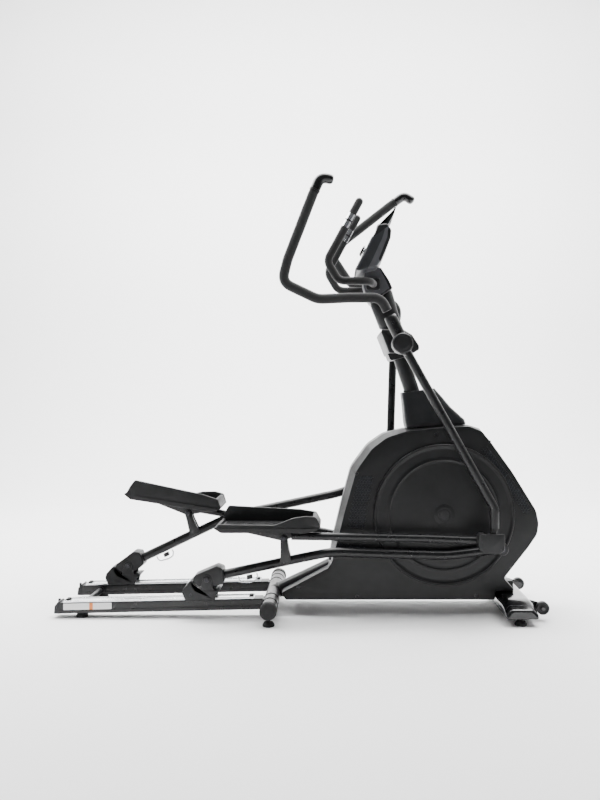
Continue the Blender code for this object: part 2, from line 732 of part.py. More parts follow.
# ---- crank, flywheel and brake -----------------------------------------------------
def build_crank():
    x, z = CRANK_CENTRE
    centre = pivot("crank_centre", x, 0, z)
    axle = turned([(AXLE_RADIUS, -DISC_IN + GAP), (AXLE_RADIUS, DISC_IN - GAP)], sides=16)
    piece("crank_axle", axle, "steel", centre)
    bore = AXLE_RADIUS + GAP
    low, high = PULLEY_Y
    profile = [(bore, low), (0.028, low), (0.104, low + 0.004), (PULLEY_RADIUS, low),
               (PULLEY_RADIUS - 0.002, low + 0.002), (PULLEY_RADIUS - 0.002, high - 0.002),
               (PULLEY_RADIUS, high), (bore, high)]
    piece("drive_pulley", turned(profile, sides=24, closed=True), "black_paint", centre)
    for name, side in (("right", -1), ("left", 1)):
        profile = [(DISC_RADIUS - 0.002, DISC_IN), (DISC_RADIUS, DISC_IN + 0.004),
                   (DISC_RADIUS - 0.006, DISC_OUT - 0.003), (0.222, DISC_OUT - 0.003),
                   (0.217, DISC_OUT)]
        disc = mirrored(turned(profile, sides=40), side)
        piece(f"crank_disc_{name}", disc, "disc_plastic", centre)


def build_flywheel():
    x, z = FLYWHEEL_CENTRE
    centre = pivot("flywheel_centre", x, 0, z)
    low, high = FLYWHEEL_Y
    belt_low, belt_high = PULLEY_Y
    rim = FLYWHEEL_RADIUS - 0.028
    profile = [(SHAFT_RADIUS, -0.060), (SHAFT_RADIUS, low + 0.012), (rim, low + 0.012),
               (rim, low), (FLYWHEEL_RADIUS, low), (FLYWHEEL_RADIUS, high), (rim, high),
               (rim, high - 0.012), (SHAFT_RADIUS, high - 0.012), (SHAFT_RADIUS, belt_low),
               (SMALL_PULLEY_RADIUS, belt_low), (SMALL_PULLEY_RADIUS - 0.002, belt_low + 0.002),
               (SMALL_PULLEY_RADIUS - 0.002, belt_high - 0.002),
               (SMALL_PULLEY_RADIUS, belt_high)]
    piece("flywheel", turned(profile, sides=24), "cast_iron", centre)


def belt_loop(offset):
    """Side-view loop around both pulleys, the given distance outside their grooves."""
    big = PULLEY_RADIUS - 0.002 + offset
    small = SMALL_PULLEY_RADIUS - 0.002 + offset
    span = Vector(FLYWHEEL_CENTRE) - Vector(CRANK_CENTRE)
    heading = math.degrees(math.atan2(span.y, span.x))
    wrap = math.degrees(math.acos((big - small) / span.length))
    loop = arc(CRANK_CENTRE, big, heading + wrap, heading + 360 - wrap, 16)
    loop += arc(FLYWHEEL_CENTRE, small, heading - wrap, heading + wrap, 6)
    return loop


def build_drive_belt():
    low, high = PULLEY_Y[0] + 0.0025, PULLEY_Y[1] - 0.0025
    outer, inner = belt_loop(0.0045), belt_loop(0.0012)
    rings = [[(x, low, z) for x, z in inner], [(x, low, z) for x, z in outer],
             [(x, high, z) for x, z in outer], [(x, high, z) for x, z in inner]]
    piece("drive_belt", loft(rings, closed=True), "rubber")


def build_brake():
    """The magnet caliper: a C-section that straddles the flywheel's rim."""
    low, high = FLYWHEEL_Y
    inner, outer = FLYWHEEL_RADIUS - 0.020, FLYWHEEL_RADIUS + 0.012
    section = [(inner, low - 0.009), (outer, low - 0.009), (outer, high + 0.009),
               (inner, high + 0.009), (inner, high + 0.003), (FLYWHEEL_RADIUS + 0.004, high + 0.003),
               (FLYWHEEL_RADIUS + 0.004, low - 0.003), (inner, low - 0.003)]
    x, z = BRAKE_PIVOT
    hinge = pivot("brake_pivot", x, 0, z)
    centre = Vector(FLYWHEEL_CENTRE) - Vector(BRAKE_PIVOT)
    rings = []
    for step in range(7):
        angle = math.radians(84 - 62 * step / 6)
        rings.append([(centre.x + r * math.cos(angle), y, centre.y + r * math.sin(angle))
                      for r, y in section])
    boss = turned([(0.010, high + 0.004), (0.010, high + 0.0215)], sides=12)
    piece("brake_caliper", joined(loft(rings), boss), "steel", hinge)


# ---- swinging handlebars -----------------------------------------------------------
def handlebar_path():
    """Centre line of a swinging handlebar from its socket, relative to the swing pivot."""
    corners = [(-0.048, SWING_Y, 0.106), (-0.082, SWING_Y + 0.002, 0.175),
               (-0.205, SWING_Y + 0.014, 0.173), (-0.3214, GRIP_Y, 0.1634),
               (-0.4561, GRIP_Y, 0.2277), (-0.4343, GRIP_Y, 0.3129), (-0.3412, GRIP_Y, 0.5545),
               (-0.3115, GRIP_Y - 0.004, 0.6218), (-0.2620, GRIP_Y - 0.014, 0.6159)]
    return filleted(corners, 0.075)


def tube_between(path, first, last, radii, sides):
    frames = frames_along(path)
    return loft(rings_along(path[first:last + 1], frames[first:last + 1], radii, sides))


def sleeve_between(path, first, last, inner, outer, sides):
    """A hollow sleeve on a stretch of a path."""
    frames = frames_along(path)
    part, turns = path[first:last + 1], frames[first:last + 1]
    count = len(part)
    out = rings_along(part, turns, [outer] * count, sides)
    hollow = rings_along(part, turns, [inner] * count, sides)
    return loft(out + hollow[::-1], closed=True)


TIP_POINTS = 4                        # path points that the moulded tip takes
TUBE_SIDES = 8


def build_swing(name, side):
    swing_angle = 0.0 if side < 0 else -SWING_APART
    x, z = SWING_PIVOT
    centre = pivot(f"{name}_swing_pivot", x, side * SWING_Y, z, swing_angle)
    shift = Matrix.Translation((0, -side * SWING_Y, 0))
    reach = RIGHT["end"] - Vector(SWING_PIVOT)
    tube = rod([(0.0, SWING_Y, 0.0), (0.3525, SWING_Y, -0.630), (0.3525, SWING_Y, -0.705)],
               SWING_TUBE_RADIUS, 0.06)
    tongue = prism([(reach.x - 0.0100, reach.y), (reach.x + 0.0100, reach.y), (0.3625, -0.686),
                    (0.3425, -0.686)], SWING_Y - 0.008, SWING_Y + 0.008)
    eye = turned([(0.0105, SWING_Y - 0.014), (0.0105, SWING_Y + 0.016)],
                 (reach.x, 0, reach.y), sides=12)
    hub = turned([(HUB_RADIUS - 0.006, HUB_IN), (HUB_RADIUS, HUB_IN + 0.006),
                  (HUB_RADIUS, HUB_OUT - 0.006), (HUB_RADIUS - 0.006, HUB_OUT)], sides=20)
    path = handlebar_path()
    heading = (path[1] - path[0]).normalized()
    socket = rod([path[0] - heading * 0.085, path[0] - heading * GAP], 0.0250, sides=14)
    bore = turned([(AXLE_RADIUS + 0.0005, HUB_IN - 0.02), (AXLE_RADIUS + 0.0005, 0.2555)],
                  sides=16)
    arm = cut_from(joined(tube, tongue, eye, hub, socket), bore)
    arm = mirrored(arm, side)
    arm.transform(shift)
    piece(f"swing_arm_{name}", arm, "black_paint", centre)

    last = len(path) - 1 - TIP_POINTS
    bar = tube_between(path, 0, last, [BAR_TUBE_RADIUS] * (last + 1), TUBE_SIDES)
    bar = mirrored(bar, side)
    bar.transform(shift)
    piece(f"handlebar_{name}", bar, "black_paint", centre)

    sleeve = sleeve_between(path, 1, last, BAR_TUBE_RADIUS + 0.0006, GRIP_RADIUS, TUBE_SIDES)
    sleeve = mirrored(sleeve, side)
    sleeve.transform(shift)
    piece(f"grip_{name}", sleeve, "foam", centre)

    tip_path = [Vector(point) for point in path[last:]]
    tip_path[0] = tip_path[0] + (tip_path[1] - tip_path[0]).normalized() * GAP * 2
    radii = [0.0195, 0.0203, 0.0208, 0.0200, 0.0120]
    tip = loft(rings_along(tip_path, frames_along(path)[last:], radii, 10))
    tip = mirrored(tip, side)
    tip.transform(shift)
    piece(f"handlebar_tip_{name}", tip, "gloss_black", centre)


# ---- pedal arms, links and carriages -----------------------------------------------
def arm_centre_line():
    """The pedal arm's gentle hump, in the frame of its carriage pivot and crank pin."""
    return [(0.004, ARM_Y, 0.0), (0.370, ARM_Y, 0.041), (0.490, ARM_Y, 0.053),
            (0.640, ARM_Y, 0.032), (0.940, ARM_Y, -0.006), (ARM_LENGTH - 0.010, ARM_Y, -0.002)]


def arm_tube(grow=0.0):
    return rod(arm_centre_line(), ARM_RADIUS + grow, 0.35)


def build_pedal_arm(name, side, points):
    carriage = points["carriage"]
    tilt = slope_of(carriage, points["pin"])
    hinge = pivot(f"{name}_arm_pivot", carriage.x, side * ARM_Y, carriage.y, tilt)
    shift = Matrix.Translation((0, -side * ARM_Y, 0))
    tube = arm_tube()
    bearing = turned([(0.024, DISC_OUT + 0.0015), (0.024, 0.1625)], (ARM_LENGTH, 0, 0), sides=20)
    pin_cap = turned([(0.013, 0.160), (0.013, 0.1655)], (ARM_LENGTH, 0, 0), sides=12)
    barrel = turned([(0.014, ARM_Y - 0.016), (0.014, ARM_Y + 0.016)], sides=16)
    post = prism([(POST_ALONG - 0.022, 0.030), (POST_ALONG + 0.018, 0.034),
                  (POST_ALONG + 0.012, POST_ABOVE), (POST_ALONG - 0.014, POST_ABOVE)],
                 ARM_Y - 0.019, ARM_Y - 0.011)
    outer_post = post.copy()
    outer_post.transform(Matrix.Translation((0, 0.030, 0)))
    pin = turned([(0.0075, ARM_Y - 0.0230), (0.0075, ARM_Y + 0.0230)],
                 (POST_ALONG, 0, POST_ABOVE), sides=12)
    bore = turned([(PIVOT_PIN + GAP, 0.05), (PIVOT_PIN + GAP, 0.20)], sides=12)
    arm = cut_from(joined(tube, bearing, pin_cap, barrel, post, outer_post, pin), bore)
    arm = mirrored(arm, side)
    arm.transform(shift)
    piece(f"pedal_arm_{name}", arm, "black_paint", hinge)
    build_arm_cover(name, side, hinge, shift)


def build_arm_cover(name, side, hinge, shift):
    """The moulded cover on the rear end of the pedal arm."""
    outline = [(-0.0535, 0.0075), (-0.0486, -0.0136), (-0.0325, -0.0241), (0.0320, -0.0310),
               (0.0600, -0.0200), (0.0660, -0.0120), (0.0640, 0.0360), (0.0400, 0.0480),
               (-0.0480, 0.0200)]
    outer, inner = ARM_Y + 0.0370, ARM_Y - 0.0370
    cover = softened(prism(outline, inner, outer), 0.005)
    barrel = turned([(0.0150, ARM_Y - 0.018), (0.0150, ARM_Y + 0.018)], sides=16)
    cap_room = block((-0.006, 0.030), (ARM_Y - 0.019, ARM_Y + 0.019), (-0.019, 0.020))
    bore = turned([(PIVOT_PIN + 0.0008, 0.05), (PIVOT_PIN + 0.0008, 0.20)], sides=12)
    cover = cut_from(cover, arm_tube(0.0008), barrel, cap_room, bore)
    cover = mirrored(cover, side)
    cover.transform(shift)
    piece(f"arm_cover_{name}", cover, "cover_plastic", hinge)


PEDAL_IN, PEDAL_OUT = 0.048, 0.218
PEDAL_WALL = 0.012
PEDAL_SOLE = [(-0.262, 0.046), (-0.236, 0.030), (0.096, 0.030), (0.128, 0.039), (0.148, 0.052),
              (0.120, 0.054), (0.096, 0.050), (-0.262, 0.052)]
PEDAL_INNER_WALL = [(-0.236, 0.031), (0.096, 0.031), (0.147, 0.052), (0.125, 0.088),
                    (0.060, 0.098), (-0.228, 0.113), (-0.243, 0.085), (-0.256, 0.050)]
PEDAL_OUTER_WALL = [(-0.236, 0.031), (0.096, 0.031), (0.147, 0.052), (0.128, 0.091),
                    (0.090, 0.095), (0.036, 0.086), (-0.030, 0.060), (-0.246, 0.063),
                    (-0.256, 0.050)]
PEDAL_TOE = [(0.110, 0.040), (0.1465, 0.052), (0.1265, 0.088), (0.114, 0.086)]
PEDAL_HEEL = [(-0.255, 0.047), (-0.236, 0.047), (-0.240, 0.062), (-0.249, 0.062)]


def build_link(name, side, points):
    start = points["link"]
    tilt = slope_of(start, points["end"])
    hinge = pivot(f"{name}_link_pivot", start.x, side * ARM_Y, start.y, tilt)
    shift = Matrix.Translation((0, -side * ARM_Y, 0))
    tube = rod([(0.032, LINK_Y, 0.012), (0.330, LINK_Y, 0.008), (0.560, LINK_Y + 0.001, 0.003),
                (LINK_LENGTH - 0.060, 0.182, -0.004), (LINK_LENGTH, 0.182, 0.0)],
               LINK_RADIUS, 0.3)
    wedge = prism([(-0.195, 0.0292), (0.085, 0.0292), (0.085, 0.0165), (0.0, -0.013),
                   (-0.012, -0.012)], ARM_Y - 0.0060, ARM_Y + 0.0060)
    outrigger = block((0.036, 0.085), (ARM_Y - 0.005, LINK_Y + 0.010), (0.0165, 0.0290))
    barrel = turned([(0.0170, ARM_Y - 0.0100), (0.0170, ARM_Y + 0.0100)], sides=16)
    front = turned([(0.0200, 0.168), (0.0200, 0.1985)], (LINK_LENGTH, 0, 0), sides=16)
    bore = turned([(0.0080, ARM_Y - 0.03), (0.0080, ARM_Y + 0.03)], sides=12)
    link = cut_from(joined(tube, outrigger, wedge, barrel, front), bore)
    link = mirrored(link, side)
    link.transform(shift)
    piece(f"link_tube_{name}", link, "black_paint", hinge)
    build_pedal(name, side, hinge, shift)
    build_joint_cover(name, side, hinge, shift)


def build_pedal(name, side, hinge, shift):
    """The foot tray: a sole, a high wall towards the frame and a low one outside."""
    pedal = prism(PEDAL_SOLE, PEDAL_IN, PEDAL_OUT)
    inner = prism(PEDAL_INNER_WALL, PEDAL_IN + 0.0005, PEDAL_IN + PEDAL_WALL)
    outer = prism(PEDAL_OUTER_WALL, PEDAL_OUT - PEDAL_WALL, PEDAL_OUT - 0.0005)
    across = (PEDAL_IN + 0.004, PEDAL_OUT - 0.004)
    pedal = joined(pedal, inner, outer, prism(PEDAL_TOE, *across), prism(PEDAL_HEEL, *across))
    pedal = mirrored(pedal, side)
    pedal.transform(shift)
    piece(f"pedal_{name}", pedal, "pedal_plastic", hinge)


def build_joint_cover(name, side, hinge, shift):
    """The hollow cover around the handlebar's lower pivot, open at the top."""
    wall = 0.0022
    outline = [(0.036, -0.036), (0.042, -0.026), (0.042, 0.031), (-0.052, 0.031),
               (-0.058, 0.022), (-0.058, -0.022), (-0.044, -0.040), (-0.020, -0.045),
               (0.020, -0.045)]
    outline = [(LINK_LENGTH + x, z) for x, z in outline]
    cover = prism(outline, 0.1995, 0.2450)
    cavity = prism(inset(outline, wall), 0.19, 0.2450 - wall)
    slot = block((LINK_LENGTH - 0.0340, LINK_LENGTH + 0.0600), (0.19, 0.2450 - wall),
                 (0.0190, 0.040))
    plate = cut_from(prism(inset(outline, 0.001), 0.1987, 0.2003),
                     block((LINK_LENGTH - 0.034, LINK_LENGTH + 0.0390), (0.19, 0.21),
                           (-0.0415, 0.040)))
    cover = joined(cut_from(cover, cavity, slot), plate)
    cover = mirrored(cover, side)
    cover.transform(shift)
    piece(f"joint_cover_{name}", cover, "cover_plastic", hinge)


def build_carriage(name, side, points):
    """The roller housing that runs on the rail, with the arm's pivot bolt on top."""
    carriage = points["carriage"]
    rail_tilt = math.atan(RAIL_SLOPE)
    slider = pivot(f"{name}_carriage_slide", carriage.x, side * RAIL_Y, carriage.y, rail_tilt)
    shift = Matrix.Translation((0, -side * RAIL_Y, 0))
    drop = PIVOT_HEIGHT - RAIL_BOTTOM - RAIL_HEIGHT
    low, top = 0.0010 - drop, -0.0370
    outline = [(-0.085, low), (0.029, low), (0.034, -0.058), (0.050, -0.041), (0.050, top)]
    outline += arc((0.0, 0.0), 0.0565, 221, 186, 5)
    outline += [(-0.0640, -0.0020), (-0.0930, -0.0330), (-0.0975, -0.0500)]
    inner, outer = RAIL_Y - 0.037, RAIL_Y + 0.047
    housing = softened(prism(outline, inner, outer), 0.004)
    channel = prism([(-0.2, low - 0.02), (0.2, low - 0.02), (0.2, low + 0.0405),
                     (-0.2, low + 0.0405)], RAIL_Y - 0.0305, RAIL_Y + 0.0305)
    ear = [(0.026, top - 0.004)] + arc((0.0, 0.0), 0.017, 0, 180, 8) + [(-0.026, top - 0.004)]
    ears = [prism(ear, inner, inner + 0.0042), prism(ear, outer - 0.0042, outer)]
    pin = turned([(PIVOT_PIN, inner + 0.001), (PIVOT_PIN, outer - 0.001)], sides=12)
    axle_z = 0.003 + ROLLER_RADIUS + 0.0004 - drop
    axles = [turned([(0.0040, RAIL_Y - 0.034), (0.0040, RAIL_Y + 0.034)],
                    (middle, 0, axle_z), sides=10) for middle in carriage_axles()]
    housing = joined(cut_from(housing, channel), *ears, pin, *axles)
    housing = mirrored(housing, side)
    housing.transform(shift)
    piece(f"carriage_{name}", housing, "cover_plastic", slider)
    for where, middle in zip(("rear", "front"), carriage_axles()):
        build_roller(f"roller_{where}_{name}", slider, middle, axle_z)


def carriage_axles():
    middle = -0.027
    return (middle - ROLLER_SPREAD, middle + ROLLER_SPREAD)


def build_roller(name, slider, x, z):
    place = slider.matrix_world @ Matrix.Translation((x, 0, z))
    axle = pivot(f"{name}_axle", *place.translation, parent=slider)
    bore = 0.0040 + GAP
    profile = [(bore, -0.0200), (ROLLER_RADIUS, -0.0200), (ROLLER_RADIUS, 0.0200),
               (bore, 0.0200)]
    piece(name, turned(profile, sides=16, closed=True), "wheel_plastic", axle)


def build_all():
    clear_scene()
    build_main_frame()
    build_crossbar_caps()
    build_front_stabilizer()
    build_transport_wheels()
    build_feet()
    build_rails()
    build_rear_tie()
    for name, (side, points) in SIDES.items():
        build_case_half(name, side)
        build_swing(name, side)
        build_pedal_arm(name, side, points)
        build_link(name, side, points)
        build_carriage(name, side, points)
    build_case_strip()
    build_mast_boot()
    build_mast()
    build_mast_collar()
    build_console()
    build_device_rack()
    build_fixed_handlebar()
    build_crank()
    build_flywheel()
    build_drive_belt()
    build_brake()


build_all()
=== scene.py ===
"""Elliptical trainer: the finished surfaces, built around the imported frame.

X runs along the machine towards the flywheel, +Y is the rider's left and Z is up.
The right-hand parts are modelled on -Y and the left-hand ones on +Y. All sizes are in metres.
"""
import math

import bmesh
import bpy
from mathutils import Matrix, Vector


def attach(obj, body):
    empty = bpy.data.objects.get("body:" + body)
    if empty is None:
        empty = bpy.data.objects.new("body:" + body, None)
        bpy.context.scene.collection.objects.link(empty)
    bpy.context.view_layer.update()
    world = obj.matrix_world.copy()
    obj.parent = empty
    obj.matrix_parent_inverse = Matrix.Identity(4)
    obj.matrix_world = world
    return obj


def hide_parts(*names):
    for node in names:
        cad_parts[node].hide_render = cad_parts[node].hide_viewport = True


# ---- driving sizes -----------------------------------------------------------------
CRANK = (0.5685, 0.3944)               # x, z of the crank axle
SWING = (0.3922, 1.0642)               # x, z of the handlebars' pivot
SWING_APART = math.radians(30.982)     # how far the left handlebar is turned from the right
ARM_LENGTH = 1.1544
LINK_LENGTH = 0.8019
RIGHT = {"side": -1, "name": "right", "carriage": (-0.36008, 0.15309), "pin": (0.78874, 0.26647),
         "link": (-0.06469, 0.31036), "end": (0.73721, 0.31040), "swing_turn": 0.0}
LEFT = {"side": 1, "name": "left", "carriage": (-0.74266, 0.14478), "pin": (0.34826, 0.52233),
        "link": (-0.49197, 0.36646), "end": (0.29995, 0.24035), "swing_turn": -SWING_APART}
SIDES = (RIGHT, LEFT)

RAIL_SLOPE = 0.0217
RAIL_BOTTOM = 0.0375
RAIL_HEIGHT = 0.0423
RAIL_WIDTH = 0.056
RAIL_Y = 0.135
RAIL_REAR, RAIL_FRONT = -0.960, -0.1475
TRACK_REAR, TRACK_FRONT = -0.922, -0.180
CROSSBAR = (-0.1145, 0.060)
CROSSBAR_RADIUS = 0.029
CROSSBAR_HALF = 0.257
BAR_HALF = 0.297
CASE_HALF = 0.100
SEAM_HALF = 0.045
ARM_Y = 0.140
LINK_Y = 0.178
SWING_Y = 0.219
GRIP_Y = 0.266
FIXED_BAR_Y = 0.139
MAST_SLOPE = 1.0 / 3.0
FEET = {"rear": (-0.856, RAIL_Y), "middle": (CROSSBAR[0], 0.262), "front": (0.836, 0.250)}
STABILIZER_X = (0.778, 0.900)
WHEEL_CENTRE = (0.935, 0.048)
WHEEL_Y = 0.190


# ---- paths and outlines ------------------------------------------------------------
def rail_bottom(x):
    return RAIL_BOTTOM + RAIL_SLOPE * x


def rail_top(x):
    return rail_bottom(x) + RAIL_HEIGHT


def mast_x(z):
    return SWING[0] + MAST_SLOPE * (SWING[1] - z)


def arc(centre, radius, start, end, steps):
    """Side-view points on an arc, angles in degrees from +X towards +Z."""
    points = []
    for step in range(steps + 1):
        angle = math.radians(start + (end - start) * step / steps)
        points.append((centre[0] + radius * math.cos(angle), centre[1] + radius * math.sin(angle)))
    return points


def filleted(points, radius, steps=8):
    """A 3-D path with each inner corner rounded to about the given radius."""
    points = [Vector(point) for point in points]
    path = [points[0]]
    for before, corner, after in zip(points, points[1:], points[2:]):
        back = before - corner
        ahead = after - corner
        turn = math.pi - back.angle(ahead)
        if turn < 0.02:
            path.append(corner)
            continue
        reach = min(radius * math.tan(turn / 2), 0.45 * back.length, 0.45 * ahead.length)
        start = corner + back.normalized() * reach
        end = corner + ahead.normalized() * reach
        for step in range(steps + 1):
            t = step / steps
            path.append(start * (1 - t) ** 2 + corner * 2 * t * (1 - t) + end * t ** 2)
    path.append(points[-1])
    return path


def rounded_outline(outline, radius, steps=6):
    """A closed side-view outline with its corners rounded. Radius is one value or one each."""
    radii = radius if isinstance(radius, (list, tuple)) else [radius] * len(outline)
    count = len(outline)
    rounded = []
    for index, corner in enumerate(outline):
        here = Vector(corner)
        back = Vector(outline[index - 1]) - here
        ahead = Vector(outline[(index + 1) % count]) - here
        turn = math.pi - back.angle(ahead)
        if turn < 0.03 or radii[index] <= 0:
            rounded.append((here.x, here.y))
            continue
        reach = min(radii[index] * math.tan(turn / 2), 0.47 * back.length, 0.47 * ahead.length)
        start = here + back.normalized() * reach
        end = here + ahead.normalized() * reach
        for step in range(steps + 1):
            t = step / steps
            point = start * (1 - t) ** 2 + here * 2 * t * (1 - t) + end * t ** 2
            rounded.append((point.x, point.y))
    return rounded


def outline_normals(outline):
    """The unit direction at each corner that points into a side-view outline."""
    count = len(outline)
    area = sum(outline[i - 1][0] * outline[i][1] - outline[i][0] * outline[i - 1][1]
               for i in range(count))
    sign = 1.0 if area > 0 else -1.0
    normals = []
    for index in range(count):
        here = Vector(outline[index])
        back = (here - Vector(outline[index - 1])).normalized()
        ahead = (Vector(outline[(index + 1) % count]) - here).normalized()
        mitre = Vector((-(back.y + ahead.y), back.x + ahead.x)) * sign
        square = Vector((-ahead.y, ahead.x)) * sign
        mitre.normalize()
        normals.append(mitre / max(mitre.dot(square), 0.5))
    return normals


def inset(outline, distances):
    """The outline moved inwards, by one distance or by one for each corner."""
    if not isinstance(distances, (list, tuple)):
        distances = [distances] * len(outline)
    return [(point[0] + normal.x * distance, point[1] + normal.y * distance)
            for point, normal, distance in zip(outline, outline_normals(outline), distances)]


# ---- meshes ------------------------------------------------------------------------
def mesh_from(vertices, faces):
    mesh = bpy.data.meshes.new("shape")
    mesh.from_pydata([tuple(vertex) for vertex in vertices], [], faces)
    return facing_out(mesh)


def facing_out(mesh):
    """The mesh with doubled points merged and every face pointing outwards."""
    shell = bmesh.new()
    shell.from_mesh(mesh)
    bmesh.ops.remove_doubles(shell, verts=shell.verts, dist=1e-6)
    bmesh.ops.recalc_face_normals(shell, faces=shell.faces)
    shell.to_mesh(mesh)
    shell.free()
    return mesh


def loft(rings, closed=False):
    """Rings of points joined in order, with a face on each end or joined end to end."""
    count = len(rings[0])
    vertices = [vertex for ring in rings for vertex in ring]
    faces = []
    spans = len(rings) if closed else len(rings) - 1
    for span in range(spans):
        low = span * count
        high = ((span + 1) % len(rings)) * count
        for index in range(count):
            after = (index + 1) % count
            faces.append((low + index, low + after, high + after, high + index))
    if not closed:
        faces.append(tuple(range(count)))
        faces.append(tuple(range(len(vertices) - count, len(vertices))))
    return mesh_from(vertices, faces)


def prism(outline, low, high):
    """A side-view outline given thickness along Y."""
    return loft([[(x, low, z) for x, z in outline], [(x, high, z) for x, z in outline]])


def cushioned(outline, low, high, edge, steps=3):
    """A side-view outline given thickness along Y, with rounded rims."""
    rings = []
    for step in range(steps + 1):
        angle = math.pi / 2 * step / steps
        shrink, depth = edge * (1 - math.sin(angle)), edge * (1 - math.cos(angle))
        rings.append([(x, low + depth, z) for x, z in inset(outline, shrink)])
    back = []
    for step in range(steps + 1):
        angle = math.pi / 2 * (1 - step / steps)
        shrink, depth = edge * (1 - math.sin(angle)), edge * (1 - math.cos(angle))
        back.append([(x, high - depth, z) for x, z in inset(outline, shrink)])
    return loft(rings + back)


def block(x, y, z):
    return prism([(x[0], z[0]), (x[1], z[0]), (x[1], z[1]), (x[0], z[1])], y[0], y[1])


def turned(profile, centre=(0.0, 0.0, 0.0), axis="Y", sides=64, closed=False):
    """A turned shape. The profile is a list of (radius, distance along the axis)."""
    rings = []
    for radius, along in profile:
        ring = []
        for side in range(sides):
            angle = 2 * math.pi * side / sides
            u, v = radius * math.cos(angle), radius * math.sin(angle)
            offset = {"X": (along, u, v), "Y": (u, along, v), "Z": (u, v, along)}[axis]
            ring.append(Vector(centre) + Vector(offset))
        rings.append(ring)
    return loft(rings, closed)


def rounded_profile(profile, radius, steps=4):
    """A turned profile with its corners eased; the first and last points stay."""
    path = filleted([(r, 0.0, along) for r, along in profile], radius, steps)
    return [(point.x, point.z) for point in path]


def frames_along(path):
    """Two directions square to the path at each of its points, without twist."""
    tangents = []
    for index in range(len(path)):
        before = path[max(index - 1, 0)]
        after = path[min(index + 1, len(path) - 1)]
        tangents.append((after - before).normalized())
    across = tangents[0].cross(Vector((0, 0, 1)))
    if across.length < 0.1:
        across = tangents[0].cross(Vector((0, 1, 0)))
    frames = []
    for tangent in tangents:
        across = (across - tangent * across.dot(tangent)).normalized()
        frames.append((across, tangent.cross(across)))
    return frames


def tube(path, radii, sides=32):
    """A round bar along a path. Radii is one value or one for each point."""
    path = [Vector(point) for point in path]
    if not isinstance(radii, (list, tuple)):
        radii = [radii] * len(path)
    rings = []
    for point, (u, v), radius in zip(path, frames_along(path), radii):
        ring = []
        for side in range(sides):
            angle = 2 * math.pi * side / sides
            ring.append(point + u * radius * math.cos(angle) + v * radius * math.sin(angle))
        rings.append(ring)
    return loft(rings)


def domed(path, radius, sides=32, steps=5):
    """A round bar along a path with rounded ends that keep the path's full length."""
    path = [Vector(point) for point in path]
    first = (path[1] - path[0]).normalized()
    last = (path[-1] - path[-2]).normalized()
    points, radii = [], []
    for step in range(steps):
        angle = math.pi / 2 * step / steps
        points.append(path[0] + first * radius * (1 - math.cos(angle)))
        radii.append(max(radius * math.sin(angle), radius * 0.02))
    body = [point for point in path[1:-1]
            if (point - path[0]).length > radius and (point - path[-1]).length > radius]
    body = [path[0] + first * radius] + body + [path[-1] - last * radius]
    points += body
    radii += [radius] * len(body)
    for step in range(1, steps + 1):
        angle = math.pi / 2 * step / steps
        points.append(path[-1] - last * radius * (1 - math.sin(angle)))
        radii.append(max(radius * math.cos(angle), radius * 0.02))
    return tube(points, radii, sides)


def part_of_path(path, start, end):
    """The stretch of a path between two distances along it."""
    stretch, run = [], 0.0
    for here, there in zip(path, path[1:]):
        span = (there - here).length
        for at in (start, end):
            if run < at <= run + span:
                point = here.lerp(there, (at - run) / span)
                if at == end:
                    stretch.append(point)
                    return stretch
                stretch.append(point)
        run += span
        if start < run < end:
            stretch.append(there)
        if start <= 0 and not stretch:
            stretch.append(path[0])
    return stretch


def path_length(path):
    return sum((there - here).length for here, there in zip(path, path[1:]))


def evaluated(shape):
    """The shape's mesh with its modifiers applied; the shape itself is removed."""
    depsgraph = bpy.context.evaluated_depsgraph_get()
    result = bpy.data.meshes.new_from_object(shape.evaluated_get(depsgraph))
    bpy.data.objects.remove(shape, do_unlink=True)
    return result


def on_scene(mesh):
    shape = bpy.data.objects.new("shape", mesh)
    bpy.context.scene.collection.objects.link(shape)
    return shape


def boolean(base, other, operation, solver):
    """One boolean with its solver, on copies of both meshes."""
    shape, tool = on_scene(base.copy()), on_scene(other.copy())
    cut = shape.modifiers.new("cut", "BOOLEAN")
    cut.operation = operation
    cut.solver = solver
    cut.object = tool
    result = evaluated(shape)
    bpy.data.objects.remove(tool, do_unlink=True)
    return result


def combined(base, others, operation, solver="EXACT"):
    """Booleans one after the other; where the exact solver loses the shape, the other one."""
    for other in others:
        result = boolean(base, other, operation, solver)
        if not result.polygons:
            result = boolean(base, other, operation, "MANIFOLD")
        base = result
    return base


def joined(base, *others):
    return combined(base, others, "UNION")


def cut_from(base, *others):
    return combined(base, others, "DIFFERENCE")


def sliced(base, outline):
    """The stretches of a mesh inside and outside a side-view outline."""
    zone = prism(outline, -0.4, 0.4)
    return [combined(base, [zone], operation, "MANIFOLD")
            for operation in ("INTERSECT", "DIFFERENCE")]


def softened(mesh, width, segments=3, limit=35):
    """The mesh with its sharp edges rounded."""
    shape = on_scene(mesh)
    edge = shape.modifiers.new("edge", "BEVEL")
    edge.width = width
    edge.segments = segments
    edge.limit_method = "ANGLE"
    edge.angle_limit = math.radians(limit)
    edge.harden_normals = False
    return evaluated(shape)


def gathered(*meshes):
    """Several meshes as one, without joining their surfaces."""
    whole = bmesh.new()
    for mesh in meshes:
        whole.from_mesh(mesh)
    result = bpy.data.meshes.new("shape")
    whole.to_mesh(result)
    whole.free()
    return result


def for_side(mesh, side):
    """A mesh drawn for +Y, kept for the left or mirrored for the right."""
    if side > 0:
        return mesh
    mesh.transform(Matrix.Scale(-1, 4, (0, 1, 0)))
    mesh.flip_normals()
    return mesh


def placed(start, end=None, turn=0.0, y=0.0):
    """The frame of a linkage member: X from its first pivot towards its second."""
    if end is not None:
        turn = math.atan2(end[1] - start[1], end[0] - start[0])
    return Matrix.Translation((start[0], y, start[1])) @ Matrix.Rotation(-turn, 4, "Y")


